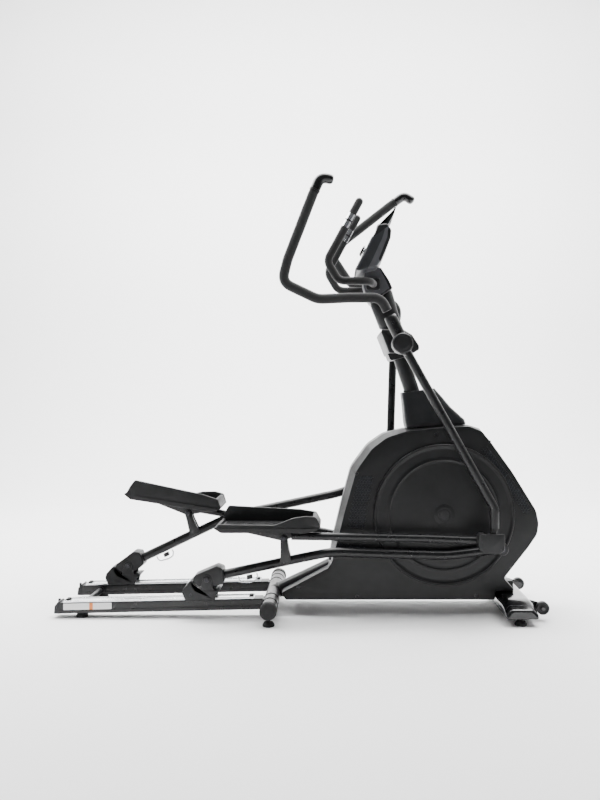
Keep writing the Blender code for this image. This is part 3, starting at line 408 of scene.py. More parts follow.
def piece(name, mesh, finish, body, replaces=(), smooth=40):
    """A finished piece on its body, in the place of the CAD nodes it stands for."""
    mesh.name = name
    mesh.materials.clear()
    mesh.materials.append(finish)
    mesh.shade_smooth()
    mesh.set_sharp_from_angle(angle=math.radians(smooth))
    thing = bpy.data.objects.new(name, mesh)
    bpy.context.scene.collection.objects.link(thing)
    if replaces:
        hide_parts(*replaces)
    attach(thing, body)
    return thing


# ---- finishes ----------------------------------------------------------------------
def shader_of(name, roughness, metallic=0.0, specular=0.5, coat=0.0, coat_roughness=0.1,
              sheen=0.0):
    """A new material with its even values set on the shader's own sockets."""
    material = bpy.data.materials.new(name)
    material.use_nodes = True
    shader = material.node_tree.nodes["Principled BSDF"]
    shader.inputs["Roughness"].default_value = roughness
    shader.inputs["Metallic"].default_value = metallic
    shader.inputs["Specular IOR Level"].default_value = specular
    shader.inputs["Coat Weight"].default_value = coat
    shader.inputs["Coat Roughness"].default_value = coat_roughness
    shader.inputs["Sheen Weight"].default_value = sheen
    return material, material.node_tree, shader


def object_point(tree, stretch=(1.0, 1.0, 1.0)):
    """Object coordinates, scaled along each axis."""
    coordinates = tree.nodes.new("ShaderNodeTexCoord")
    mapping = tree.nodes.new("ShaderNodeMapping")
    mapping.inputs["Scale"].default_value = stretch
    tree.links.new(coordinates.outputs["Object"], mapping.inputs["Vector"])
    return mapping.outputs["Vector"]


def noise(tree, vector, scale, detail=3.0, roughness=0.55):
    texture = tree.nodes.new("ShaderNodeTexNoise")
    texture.inputs["Scale"].default_value = scale
    texture.inputs["Detail"].default_value = detail
    texture.inputs["Roughness"].default_value = roughness
    tree.links.new(vector, texture.inputs["Vector"])
    return texture.outputs["Fac"]


def ranged(tree, value, low, high, out_low, out_high):
    """A value mapped from one range to another."""
    node = tree.nodes.new("ShaderNodeMapRange")
    for socket, number in (("From Min", low), ("From Max", high), ("To Min", out_low),
                           ("To Max", out_high)):
        node.inputs[socket].default_value = number
    tree.links.new(value, node.inputs["Value"])
    return node.outputs["Result"]


def blended(tree, value, dark, light):
    """Two colours mixed by a value."""
    mix = tree.nodes.new("ShaderNodeMix")
    mix.data_type = "RGBA"
    mix.inputs["A"].default_value = (*dark, 1.0)
    mix.inputs["B"].default_value = (*light, 1.0)
    tree.links.new(value, mix.inputs["Factor"])
    return mix.outputs["Result"]


def bumped(tree, shader, height, strength, distance):
    """A height field on the surface, in metres of relief."""
    bump = tree.nodes.new("ShaderNodeBump")
    bump.inputs["Strength"].default_value = strength
    bump.inputs["Distance"].default_value = distance
    tree.links.new(height, bump.inputs["Height"])
    tree.links.new(bump.outputs["Normal"], shader.inputs["Normal"])


def powder_coat(name, dark, light, roughness, coat=0.0):
    """Baked paint: a faint orange peel, slightly uneven in sheen."""
    material, tree, shader = shader_of(name, roughness, specular=0.35, coat=coat,
                                       coat_roughness=0.12)
    point = object_point(tree)
    cloud = noise(tree, point, 9.0, 2.0)
    tree.links.new(blended(tree, ranged(tree, cloud, 0.35, 0.65, 0.0, 1.0), dark, light),
                   shader.inputs["Base Color"])
    smudge = noise(tree, point, 38.0, 4.0)
    tree.links.new(ranged(tree, smudge, 0.3, 0.7, roughness - 0.05, roughness + 0.07),
                   shader.inputs["Roughness"])
    bumped(tree, shader, noise(tree, point, 900.0, 1.0), 0.25, 0.00012)
    return material


def moulding(name, dark, light, roughness, grain=1400.0, relief=0.00010, specular=0.3):
    """Moulded plastic: fine spark-eroded grain and a slightly cloudy sheen."""
    material, tree, shader = shader_of(name, roughness, specular=specular)
    point = object_point(tree)
    cloud = noise(tree, point, 14.0, 3.0)
    tree.links.new(blended(tree, ranged(tree, cloud, 0.35, 0.65, 0.0, 1.0), dark, light),
                   shader.inputs["Base Color"])
    wear = noise(tree, point, 60.0, 5.0, 0.65)
    tree.links.new(ranged(tree, wear, 0.3, 0.72, roughness - 0.05, roughness + 0.08),
                   shader.inputs["Roughness"])
    cells = tree.nodes.new("ShaderNodeTexVoronoi")
    cells.inputs["Scale"].default_value = grain
    tree.links.new(point, cells.inputs["Vector"])
    bumped(tree, shader, cells.outputs["Distance"], 0.35, relief)
    return material


def foam_rubber(name, dark, light):
    """Closed-cell foam on the grips: dull, with small pores and a soft edge sheen."""
    material, tree, shader = shader_of(name, 0.88, specular=0.28, sheen=0.22)
    point = object_point(tree)
    cells = tree.nodes.new("ShaderNodeTexVoronoi")
    cells.inputs["Scale"].default_value = 520.0
    tree.links.new(point, cells.inputs["Vector"])
    pores = ranged(tree, cells.outputs["Distance"], 0.0, 0.55, 0.0, 1.0)
    tree.links.new(blended(tree, pores, dark, light), shader.inputs["Base Color"])
    bumped(tree, shader, pores, 0.55, 0.00035)
    return material


def metal(name, dark, light, roughness, stretch, relief=0.00004):
    """Bare metal with fine marks that run along one axis."""
    material, tree, shader = shader_of(name, roughness, metallic=1.0)
    point = object_point(tree, stretch)
    marks = noise(tree, point, 700.0, 4.0, 0.7)
    tree.links.new(blended(tree, ranged(tree, marks, 0.3, 0.7, 0.0, 1.0), dark, light),
                   shader.inputs["Base Color"])
    tree.links.new(ranged(tree, marks, 0.3, 0.7, roughness - 0.08, roughness + 0.10),
                   shader.inputs["Roughness"])
    bumped(tree, shader, marks, 0.3, relief)
    return material


def printed_plastic(name, base, accent, bands):
    """A plain label: a pale field with a coloured band across it, along X."""
    material, tree, shader = shader_of(name, 0.42)
    point = object_point(tree)
    split = tree.nodes.new("ShaderNodeSeparateXYZ")
    tree.links.new(point, split.inputs["Vector"])
    inside = tree.nodes.new("ShaderNodeMath")
    inside.operation = "COMPARE"
    inside.inputs[1].default_value = sum(bands) / 2
    inside.inputs[2].default_value = (bands[1] - bands[0]) / 2
    tree.links.new(split.outputs["X"], inside.inputs[0])
    tree.links.new(blended(tree, inside.outputs["Value"], base, accent),
                   shader.inputs["Base Color"])
    bumped(tree, shader, noise(tree, point, 300.0, 2.0), 0.2, 0.00005)
    return material


def make_finishes():
    """Every finish on the machine, by the name its pieces ask for."""
    return {
        "frame_paint": powder_coat("frame_paint", (0.0081, 0.0082, 0.0090),
                                   (0.0118, 0.0120, 0.0130), 0.34),
        "gloss_cover": powder_coat("gloss_cover", (0.0043, 0.0045, 0.0050),
                                   (0.0062, 0.0063, 0.0069), 0.17, coat=0.5),
        "arm_paint": powder_coat("arm_paint", (0.0062, 0.0063, 0.0069),
                                 (0.0090, 0.0092, 0.0099), 0.30),
        "case_panel": moulding("case_panel", (0.0053, 0.0055, 0.0061),
                               (0.0077, 0.0080, 0.0088), 0.40, relief=0.00008),
        "case_scale": moulding("case_scale", (0.0074, 0.0084, 0.0109),
                               (0.0124, 0.0139, 0.0180), 0.33, relief=0.00006),
        "crank_cover": moulding("crank_cover", (0.0050, 0.0051, 0.0057),
                                (0.0073, 0.0076, 0.0084), 0.36, relief=0.00007),
        "cover_moulding": moulding("cover_moulding", (0.0099, 0.0101, 0.0109),
                                   (0.0143, 0.0146, 0.0155), 0.42, relief=0.00009),
        "boot_moulding": moulding("boot_moulding", (0.0112, 0.0117, 0.0131),
                                  (0.0161, 0.0167, 0.0186), 0.40, relief=0.00009),
        "console_shell": moulding("console_shell", (0.062, 0.064, 0.070),
                                  (0.078, 0.080, 0.087), 0.42, relief=0.00007),
        "console_slate": moulding("console_slate", (0.022, 0.0235, 0.027),
                                  (0.029, 0.0305, 0.034), 0.36, relief=0.00006),
        "trim_black": moulding("trim_black", (0.009, 0.009, 0.010),
                               (0.014, 0.014, 0.0155), 0.40),
        "pedal_moulding": moulding("pedal_moulding", (0.0095, 0.0096, 0.0102),
                                   (0.0145, 0.0147, 0.0155), 0.55, grain=900.0,
                                   relief=0.00016),
        "rubber": moulding("rubber", (0.010, 0.010, 0.0105), (0.016, 0.016, 0.0165), 0.72,
                           grain=1100.0, relief=0.00014, specular=0.35),
        "wheel_moulding": moulding("wheel_moulding", (0.014, 0.014, 0.0145),
                                   (0.021, 0.021, 0.0215), 0.52),
        "foam": foam_rubber("foam", (0.008, 0.008, 0.0085), (0.017, 0.017, 0.0175)),
        "track_metal": metal("track_metal", (0.72, 0.73, 0.75), (0.88, 0.89, 0.90), 0.28,
                             (0.02, 1.0, 1.0)),
        "bright_steel": metal("bright_steel", (0.50, 0.50, 0.52), (0.68, 0.68, 0.70), 0.24,
                              (1.0, 1.0, 1.0)),
        "chrome_ring": metal("chrome_ring", (0.72, 0.73, 0.75), (0.85, 0.86, 0.88), 0.12,
                             (1.0, 1.0, 1.0), relief=0.00001),
        "dark_screw": metal("dark_screw", (0.030, 0.030, 0.033), (0.050, 0.050, 0.055), 0.38,
                            (1.0, 1.0, 1.0)),
        "iron": metal("iron", (0.10, 0.10, 0.105), (0.16, 0.16, 0.165), 0.45,
                      (1.0, 1.0, 1.0), relief=0.0001),
        "plain_label": printed_plastic("plain_label", (0.80, 0.80, 0.79), (0.75, 0.22, 0.05),
                                       (-0.820, -0.806)),
    }


# ---- repeated details, made with geometry nodes ------------------------------------
def node_tree(name, sizes):
    """A geometry-node group with named number inputs; returns it with its socket names."""
    tree = bpy.data.node_groups.new(name, "GeometryNodeTree")
    tree.interface.new_socket("Geometry", in_out="INPUT", socket_type="NodeSocketGeometry")
    tree.interface.new_socket("Geometry", in_out="OUTPUT", socket_type="NodeSocketGeometry")
    sockets = {}
    for label, value in sizes.items():
        kind = "NodeSocketInt" if isinstance(value, int) else "NodeSocketFloat"
        socket = tree.interface.new_socket(label, in_out="INPUT", socket_type=kind)
        socket.default_value = value
        sockets[label] = socket.identifier
    return tree, sockets


def grown(tree, sockets, sizes, seed_mesh, finish):
    """The plain mesh that a node group makes from a seed mesh."""
    shape = on_scene(seed_mesh)
    modifier = shape.modifiers.new("pattern", "NODES")
    modifier.node_group = tree
    for label, value in sizes.items():
        modifier[sockets[label]] = value
    depsgraph = bpy.context.evaluated_depsgraph_get()
    result = bpy.data.meshes.new_from_object(shape.evaluated_get(depsgraph))
    shape.modifiers.remove(modifier)
    bpy.data.objects.remove(shape, do_unlink=True)
    result.materials.clear()
    result.materials.append(finish)
    return result


def seed_points(points, normals):
    """A mesh of loose points, each with the direction that its copy faces."""
    mesh = bpy.data.meshes.new("seeds")
    mesh.from_pydata([tuple(point) for point in points], [], [])
    facing = mesh.attributes.new("facing", "FLOAT_VECTOR", "POINT")
    for index, normal in enumerate(normals):
        facing.data[index].vector = Vector(normal).normalized()
    return mesh


def finish_tree(tree, geometry, finish):
    """Ends a node group: instances made real, then the finish."""
    real = tree.nodes.new("GeometryNodeRealizeInstances")
    paint = tree.nodes.new("GeometryNodeSetMaterial")
    paint.inputs["Material"].default_value = finish
    out = tree.nodes.new("NodeGroupOutput")
    tree.links.new(geometry, real.inputs["Geometry"])
    tree.links.new(real.outputs["Geometry"], paint.inputs["Geometry"])
    tree.links.new(paint.outputs["Geometry"], out.inputs["Geometry"])


def faced_instances(tree, source, shape, finish):
    """Copies of a shape on the seed points, its +Z turned to each point's facing."""
    named = tree.nodes.new("GeometryNodeInputNamedAttribute")
    named.data_type = "FLOAT_VECTOR"
    named.inputs["Name"].default_value = "facing"
    align = tree.nodes.new("FunctionNodeAlignRotationToVector")
    align.axis = "Z"
    spread = tree.nodes.new("GeometryNodeInstanceOnPoints")
    tree.links.new(named.outputs["Attribute"], align.inputs["Vector"])
    tree.links.new(source.outputs["Geometry"], spread.inputs["Points"])
    tree.links.new(shape, spread.inputs["Instance"])
    tree.links.new(align.outputs["Rotation"], spread.inputs["Rotation"])
    finish_tree(tree, spread.outputs["Instances"], finish)


def cylinder(tree, radius, depth, sides):
    """A cylinder whose size comes from sockets or numbers, centred on its own middle."""
    node = tree.nodes.new("GeometryNodeMeshCylinder")
    node.inputs["Vertices"].default_value = sides
    for socket, value in (("Radius", radius), ("Depth", depth)):
        if isinstance(value, float):
            node.inputs[socket].default_value = value
        else:
            tree.links.new(value, node.inputs[socket])
    return node.outputs["Mesh"]


def arithmetic(tree, operation, first, second):
    node = tree.nodes.new("ShaderNodeMath")
    node.operation = operation
    for index, value in enumerate((first, second)):
        if isinstance(value, (int, float)):
            node.inputs[index].default_value = value
        else:
            tree.links.new(value, node.inputs[index])
    return node.outputs["Value"]


def moved(tree, geometry, height):
    """Geometry lifted along Z by a socket's value."""
    node = tree.nodes.new("GeometryNodeTransform")
    vector = tree.nodes.new("ShaderNodeCombineXYZ")
    tree.links.new(height, vector.inputs["Z"])
    tree.links.new(vector.outputs["Vector"], node.inputs["Translation"])
    tree.links.new(geometry, node.inputs["Geometry"])
    return node.outputs["Geometry"]


def screw_tree(finish):
    """Socket screws: a low head with a hexagon socket in it."""
    sizes = {"Head radius": 0.0045, "Head height": 0.0022}
    tree, sockets = node_tree("socket_screw", sizes)
    source = tree.nodes.new("NodeGroupInput")
    radius, height = source.outputs["Head radius"], source.outputs["Head height"]
    head = cylinder(tree, radius, height, 24)
    skirt = cylinder(tree, arithmetic(tree, "MULTIPLY", radius, 1.12),
                     arithmetic(tree, "MULTIPLY", height, 0.55), 24)
    socket = cylinder(tree, arithmetic(tree, "MULTIPLY", radius, 0.55),
                      arithmetic(tree, "MULTIPLY", height, 1.2), 6)
    hollow = tree.nodes.new("GeometryNodeMeshBoolean")
    hollow.operation = "DIFFERENCE"
    hollow.solver = "EXACT"
    tree.links.new(head, hollow.inputs["Mesh 1"])
    tree.links.new(moved(tree, socket, arithmetic(tree, "MULTIPLY", height, 0.5)),
                   hollow.inputs["Mesh 2"])
    both = tree.nodes.new("GeometryNodeJoinGeometry")
    tree.links.new(hollow.outputs["Mesh"], both.inputs["Geometry"])
    tree.links.new(moved(tree, skirt, arithmetic(tree, "MULTIPLY", height, -0.22)),
                   both.inputs["Geometry"])
    faced_instances(tree, source, both.outputs["Geometry"], finish)
    return tree, sockets


def plate_tree(finish):
    """Raised hexagonal plates, one on each seed point."""
    sizes = {"Plate radius": 0.006, "Plate height": 0.0016}
    tree, sockets = node_tree("hexagon_plate", sizes)
    source = tree.nodes.new("NodeGroupInput")
    radius, height = source.outputs["Plate radius"], source.outputs["Plate height"]
    plate = tree.nodes.new("GeometryNodeMeshCone")
    plate.inputs["Vertices"].default_value = 6
    tree.links.new(radius, plate.inputs["Radius Bottom"])
    tree.links.new(arithmetic(tree, "MULTIPLY", radius, 0.80), plate.inputs["Radius Top"])
    tree.links.new(height, plate.inputs["Depth"])
    faced_instances(tree, source, plate.outputs["Mesh"], finish)
    return tree, sockets


def bar_tree(name, finish, across):
    """Short bars along the seed points, such as the ribs of a tread."""
    sizes = {"Bar length": 0.02, "Bar width": 0.003, "Bar height": 0.002}
    tree, sockets = node_tree(name, sizes)
    source = tree.nodes.new("NodeGroupInput")
    size = tree.nodes.new("ShaderNodeCombineXYZ")
    order = ("Y", "X") if across else ("X", "Y")
    tree.links.new(source.outputs["Bar length"], size.inputs[order[0]])
    tree.links.new(source.outputs["Bar width"], size.inputs[order[1]])
    tree.links.new(source.outputs["Bar height"], size.inputs["Z"])
    cube = tree.nodes.new("GeometryNodeMeshCube")
    tree.links.new(size.outputs["Vector"], cube.inputs["Size"])
    faced_instances(tree, source, cube.outputs["Mesh"], finish)
    return tree, sockets


# ---- base frame --------------------------------------------------------------------
SPINE_SLOPE = 0.47
BEAM_Z = (0.072, 0.112)
BEAM_HALF = 0.030


def along_rail(outline_yz, ends):
    """A section in Y and height above the rail's underside, run along the rail's slope."""
    return loft([[(x, y, rail_bottom(x) + z) for y, z in outline_yz] for x in ends])


def build_base_frame():
    x, z = CROSSBAR
    crossbar = turned([(CROSSBAR_RADIUS, -CROSSBAR_HALF), (CROSSBAR_RADIUS, CROSSBAR_HALF)],
                      (x, 0, z), sides=64)
    top = 0.490
    spine = tube([(x, 0, z), (top, 0, z + SPINE_SLOPE * (top - x))], 0.030, 48)
    slope = Vector((1, 0, SPINE_SLOPE)).normalized()
    start = Vector((x, 0, z)) + slope * (CROSSBAR_RADIUS - 0.002)
    bead = tube([start, start + slope * 0.003, start + slope * 0.007],
                [0.0335, 0.0340, 0.0302], 48)
    beam = softened(block((-0.030, 0.862), (-BEAM_HALF, BEAM_HALF), BEAM_Z), 0.005)
    post = block((0.470, 0.530), (-0.025, 0.025), (0.100, 0.7565))
    bracket = turned([(0.0130, -0.045), (0.028, -0.045), (0.028, 0.045), (0.0130, 0.045)],
                     (CRANK[0], 0, CRANK[1]), sides=48, closed=True)
    gusset = block((0.500, 0.556), (-0.020, 0.020), (0.372, 0.418))
    lug = block((0.747, 0.790), (0.012, 0.0295), (0.100, 0.455))
    stubs = []
    for side in (-1, 1):
        outline = [(-0.1760, rail_bottom(-0.176) + 0.004), (-0.1150, rail_bottom(-0.115) + 0.004),
                   (-0.1150, rail_top(-0.115) - 0.004), (-0.1760, rail_top(-0.176) - 0.004)]
        low, high = sorted((side * (RAIL_Y - 0.022), side * (RAIL_Y + 0.022)))
        stubs.append(prism(outline, low, high))
    base = gathered(crossbar, spine, bead, beam, post, bracket, gusset, lug, *stubs)
    piece("base_frame", base, finishes["frame_paint"], "frame", ["main_frame"])

    rings = []
    for y in (0.130, 0.200):
        for side in (-1, 1):
            middle = side * y
            profile = [(CROSSBAR_RADIUS + 0.0002, middle - 0.004),
                       (CROSSBAR_RADIUS + 0.0016, middle - 0.003),
                       (CROSSBAR_RADIUS + 0.0016, middle + 0.003),
                       (CROSSBAR_RADIUS + 0.0002, middle + 0.004)]
            rings.append(turned(profile, (x, 0, z), sides=64))
    piece("crossbar_rings", gathered(*rings), finishes["rubber"], "frame")

    for name, side in (("right", -1), ("left", 1)):
        profile = rounded_profile([(0.0100, 0.2572), (0.0325, 0.2572), (0.0325, BAR_HALF - 0.010),
                                   (0.0290, BAR_HALF - 0.0015), (0.0100, BAR_HALF)], 0.006)
        cap = for_side(turned(profile, (x, 0, z), sides=64), side)
        piece(f"crossbar_end_{name}", cap, finishes["rubber"], "frame",
              [f"crossbar_cap_{name}"])


def stabilizer_ring(y, top, grow, steps=8):
    """A section of the front foot: flat below, with a rounded back."""
    low, high = STABILIZER_X[0] - grow, STABILIZER_X[1] + grow
    outline = [(low, 0.030), (high, 0.030), (high, top - 0.022), (high - 0.020, top),
               (low + 0.016, top), (low, top - 0.024)]
    radii = [0.004, 0.004, 0.018, 0.020, 0.018, 0.018]
    return [(x, y, z) for x, z in rounded_outline(outline, radii, steps)]


def build_front_stabilizer():
    stations = [(0.2780, 0.0560, -0.0120), (0.2772, 0.0590, -0.0060), (0.2740, 0.0620, -0.0015),
                (0.2690, 0.0645, 0.0), (0.2500, 0.0700, 0.0), (0.2300, 0.0765, 0.0),
                (0.2150, 0.0810, 0.0), (0.2000, 0.0834, 0.0), (0.1800, 0.0840, 0.0)]
    rings = [stabilizer_ring(-y, top, grow) for y, top, grow in stations]
    rings += [stabilizer_ring(y, top, grow) for y, top, grow in stations[::-1]]
    beam = loft(rings)
    pocket = block((0.70, 0.8625), (-BEAM_HALF - 0.0003, BEAM_HALF + 0.0003),
                   (BEAM_Z[0] - 0.0003, 0.12))
    beam = cut_from(beam, pocket)
    piece("front_foot", beam, finishes["gloss_cover"], "frame",
          ["front_stabilizer"])

    x, z = WHEEL_CENTRE
    brackets, seams = [], []
    for side in (-1, 1):
        low, high = sorted((side * 0.164, side * 0.174))
        outline = [(0.866, 0.036), (0.938, 0.036), (0.949, 0.048), (0.944, 0.060),
                   (0.890, 0.0745), (0.866, 0.074)]
        brackets.append(cushioned(rounded_outline(outline, 0.008), low, high, 0.0015))
        brackets.append(for_side(turned([(0.0045, 0.170), (0.0045, 0.2030), (0.0035, 0.2040)],
                                        (x, 0, z), sides=24), side))
        brackets.append(for_side(turned(rounded_profile(
            [(0.0010, 0.2045), (0.0075, 0.2045), (0.0075, 0.2005), (0.0045, 0.2005)][::-1],
            0.0012), (x, 0, z), sides=24), side))
        at = side * 0.2430
        rings = [stabilizer_ring(at + offset, 0.0720 + lift, grow)
                 for offset, lift, grow in ((-0.0012, 0.0006, 0.0001), (0.0012, 0.0006, 0.0004))]
        seams.append(loft(rings))
    piece("wheel_brackets", gathered(*brackets), finishes["gloss_cover"], "frame")
    piece("front_foot_seams", gathered(*seams), finishes["trim_black"], "frame")


def build_transport_wheels():
    x, z = WHEEL_CENTRE
    for name, side in (("right", -1), ("left", 1)):
        profile = rounded_profile(
            [(0.0049, -0.0110), (0.0085, -0.0110), (0.0110, -0.0080), (0.0190, -0.0080),
             (0.0200, -0.0110), (0.0238, -0.0110), (0.0250, -0.0080), (0.0250, 0.0080),
             (0.0238, 0.0110), (0.0200, 0.0110), (0.0190, 0.0080), (0.0110, 0.0080),
             (0.0085, 0.0110), (0.0049, 0.0110)], 0.0008, 3)
        profile.append((0.0049, 0.0))
        wheel = turned(profile, (x, side * WHEEL_Y, z), sides=64, closed=True)
        piece(f"wheel_{name}", wheel, finishes["wheel_moulding"],
              f"{name}_transport_wheel", [f"transport_wheel_{name}"])


def build_feet():
    ribs_each = 40
    tree, sockets = bar_tree("foot_rib", finishes["rubber"], False)
    profile = rounded_profile([(0.0010, 0.0), (0.0225, 0.0), (0.0230, 0.0040), (0.0215, 0.0095),
                               (0.0172, 0.0160), (0.0075, 0.0175), (0.0075, 0.0205),
                               (0.0010, 0.0205)], 0.0015, 3)
    for row, (x, y) in FEET.items():
        for name, side in (("right", -1), ("left", 1)):
            centre = Vector((x, side * y, 0))
            pad = turned(profile, centre, axis="Z", sides=48)
            points, normals = [], []
            for index in range(ribs_each):
                angle = 2 * math.pi * index / ribs_each
                out = Vector((math.cos(angle), math.sin(angle), 0))
                points.append(centre + out * 0.0223 + Vector((0, 0, 0.0058)))
                normals.append(out)
            sizes = {"Bar length": 0.0016, "Bar width": 0.0016, "Bar height": 0.0012}
            ribs = grown(tree, sockets, sizes, seed_points(points, normals), finishes["rubber"])
            thread = thread_mesh(centre, 0.0050, 0.0205, 0.047)
            piece(f"levelling_foot_{row}_{name}", gathered(pad, ribs, thread),
                  finishes["rubber"], f"{row}_{name}_foot", [f"foot_{row}_{name}"])


def thread_mesh(centre, radius, low, high, pitch=0.0015):
    """A screw's thread, drawn as stacked grooves."""
    profile, z = [], low
    while z < high - pitch:
        profile += [(radius - 0.0005, z), (radius, z + pitch / 2)]
        z += pitch
    profile.append((radius - 0.0005, high))
    return turned(profile, centre, axis="Z", sides=20)


# ---- rails -------------------------------------------------------------------------
def build_rails():
    half = RAIL_WIDTH / 2
    for name, side in (("right", -1), ("left", 1)):
        inner_y = side * RAIL_Y
        section = [(-half, 0.0), (half, 0.0), (half, 0.0130), (half - 0.0012, 0.0150),
                   (half - 0.0012, 0.0170), (half, 0.0190), (half, RAIL_HEIGHT),
                   (-half, RAIL_HEIGHT), (-half, 0.0190), (-half + 0.0012, 0.0170),
                   (-half + 0.0012, 0.0150), (-half, 0.0130)]
        radii = [0.004, 0.004, 0.0006, 0.0004, 0.0004, 0.0006, 0.0035, 0.0035, 0.0006, 0.0004,
                 0.0004, 0.0006]
        section = [(inner_y + y, z) for y, z in rounded_outline(section, radii, 4)]
        body = along_rail(section, (RAIL_REAR + 0.022, RAIL_FRONT))
        low, high = sorted((side * (RAIL_Y - 0.0223), side * (RAIL_Y + 0.0223)))
        socket = [(-0.1763, rail_bottom(-0.1763) + 0.0037), (-0.13, rail_bottom(-0.13) + 0.0037),
                  (-0.13, rail_top(-0.13) - 0.0037), (-0.1763, rail_top(-0.1763) - 0.0037)]
        body = cut_from(body, prism(socket, low, high))
        piece(f"rail_body_{name}", body, finishes["arm_paint"], "frame",
              [f"rail_{name}"])

        end = RAIL_REAR
        outline = [(end + 0.0235, rail_bottom(end + 0.0235) - 0.0006),
                   (end + 0.0235, rail_top(end + 0.0235) + 0.0040),
                   (end + 0.0180, rail_top(end + 0.018) + 0.0046),
                   (end + 0.0040, rail_top(end) - 0.0120),
                   (end + 0.0010, rail_bottom(end) + 0.0010)]
        cap = cushioned(rounded_outline(outline, [0.001, 0.002, 0.006, 0.010, 0.004]),
                        inner_y - half - 0.0004, inner_y + half + 0.0004, 0.0030)
        piece(f"rail_end_{name}", cap, finishes["cover_moulding"], "frame")
        build_track(name, side)

        buffer = []
        for x in (TRACK_REAR + 0.012, TRACK_FRONT - 0.012):
            foot = rail_top(x) + 0.0030
            outline = [(x - 0.009, foot), (x + 0.009, foot), (x + 0.006, foot + 0.0085),
                       (x - 0.006, foot + 0.0085)]
            buffer.append(cushioned(rounded_outline(outline, 0.002), inner_y - 0.0140,
                                    inner_y + 0.0140, 0.0020))
        piece(f"rail_buffers_{name}", gathered(*buffer), finishes["rubber"], "frame")

        plunger_x = end + 0.010
        top = rail_top(plunger_x)
        plunger = turned(rounded_profile([(0.0010, top - 0.010), (0.0052, top - 0.010),
                                          (0.0052, top + 0.0058), (0.0035, top + 0.0075),
                                          (0.0010, top + 0.0075)], 0.001, 3),
                         (plunger_x, inner_y - side * 0.012, 0), axis="Z", sides=24)
        piece(f"rail_plunger_{name}", plunger, finishes["dark_screw"], "frame")


def build_track(name, side):
    """The running surface: an aluminium channel with rounded lips."""
    half, lip, high = 0.0265, 0.0035, 0.0070
    section = [(-half, 0.0003), (half, 0.0003), (half, high), (half - lip, high),
               (half - lip, 0.0030), (-half + lip, 0.0030), (-half + lip, high), (-half, high)]
    radii = [0.0008, 0.0008, 0.0015, 0.0012, 0.0016, 0.0016, 0.0012, 0.0015]
    section = [(side * RAIL_Y + y, RAIL_HEIGHT + z)
               for y, z in rounded_outline(section, radii, 3)]
    track = along_rail(section, (TRACK_REAR, TRACK_FRONT))
    piece(f"running_track_{name}", track, finishes["track_metal"], "frame",
          [f"track_{name}"])


def build_rail_label():
    """A blank label on the outer face of the right rail."""
    face = -(RAIL_Y + RAIL_WIDTH / 2) - 0.0004
    outline = []
    for x, share in ((-0.9210, 0.34), (-0.7330, 0.34), (-0.7330, 0.93), (-0.9210, 0.93)):
        outline.append((x, rail_bottom(x) + RAIL_HEIGHT * share))
    label = prism(rounded_outline(outline, 0.003, 4), face, face + 0.0002)
    piece("rail_label", label, finishes["plain_label"], "frame")


def build_rear_tie():
    inner = RAIL_Y - RAIL_WIDTH / 2 - 0.0003
    x = -0.860
    z = rail_bottom(x) + 0.0195
    tie = turned([(0.0125, -inner), (0.0125, inner)], (x, 0, z), sides=40)
    flanges = [turned(rounded_profile([(0.0128, side * (inner - 0.006)),
                                       (0.0170, side * (inner - 0.006)),
                                       (0.0170, side * inner), (0.0128, side * inner)], 0.001, 2),
                      (x, 0, z), sides=40) for side in (-1, 1)]
    piece("cross_tie", gathered(tie, *flanges), finishes["frame_paint"], "frame",
          ["rear_tie"])


# ---- drive housing -----------------------------------------------------------------
# Corners of the seam: x, z, lean of the side panel, seam's |y|, corner radius.
CASE_CORNERS = [
    (-0.078, 0.082, 0.000, 0.0005, 0.006),
    (0.108, 0.180, 0.000, 0.0005, 0.010),
    (0.1126, 0.2050, 0.010, 0.0005, 0.004),
    (0.1130, 0.2110, 0.012, SEAM_HALF, 0.004),
    (0.1219, 0.2720, 0.018, SEAM_HALF, 0.200),
    (0.1559, 0.4149, 0.020, SEAM_HALF, 0.300),
    (0.1992, 0.5760, 0.022, SEAM_HALF, 0.110),
    (0.2676, 0.6686, 0.020, SEAM_HALF, 0.100),
    (0.3356, 0.7152, 0.016, SEAM_HALF, 0.100),
    (0.4222, 0.7338, 0.008, SEAM_HALF, 0.200),
    (0.5809, 0.7453, 0.004, SEAM_HALF, 0.200),
    (0.6698, 0.7492, 0.004, SEAM_HALF, 0.050),
    (0.7196, 0.7338, 0.008, SEAM_HALF, 0.010),
    (0.7300, 0.7286, 0.010, 0.0005, 0.010),
    (0.7720, 0.6813, 0.014, 0.0005, 0.080),
    (0.8600, 0.5589, 0.014, 0.0005, 0.200),
    (0.9490, 0.4149, 0.014, 0.0005, 0.080),
    (0.9610, 0.3590, 0.014, 0.0005, 0.060),
    (0.9540, 0.3093, 0.014, 0.0005, 0.060),
    (0.9160, 0.2538, 0.014, 0.0005, 0.060),
    (0.8155, 0.1389, 0.006, 0.0005, 0.012),
    (0.8480, 0.0960, 0.000, 0.0005, 0.002),
    (0.8440, 0.0885, 0.000, 0.0005, 0.002),
    (0.7750, 0.0885, 0.000, 0.0005, 0.002),
    (0.7720, 0.0540, 0.000, 0.0005, 0.004),
    (-0.060, 0.0540, 0.000, 0.0005, 0.008),
]
CASE_WALL = 0.003
STRIP_FIRST, STRIP_LAST = 3, 12


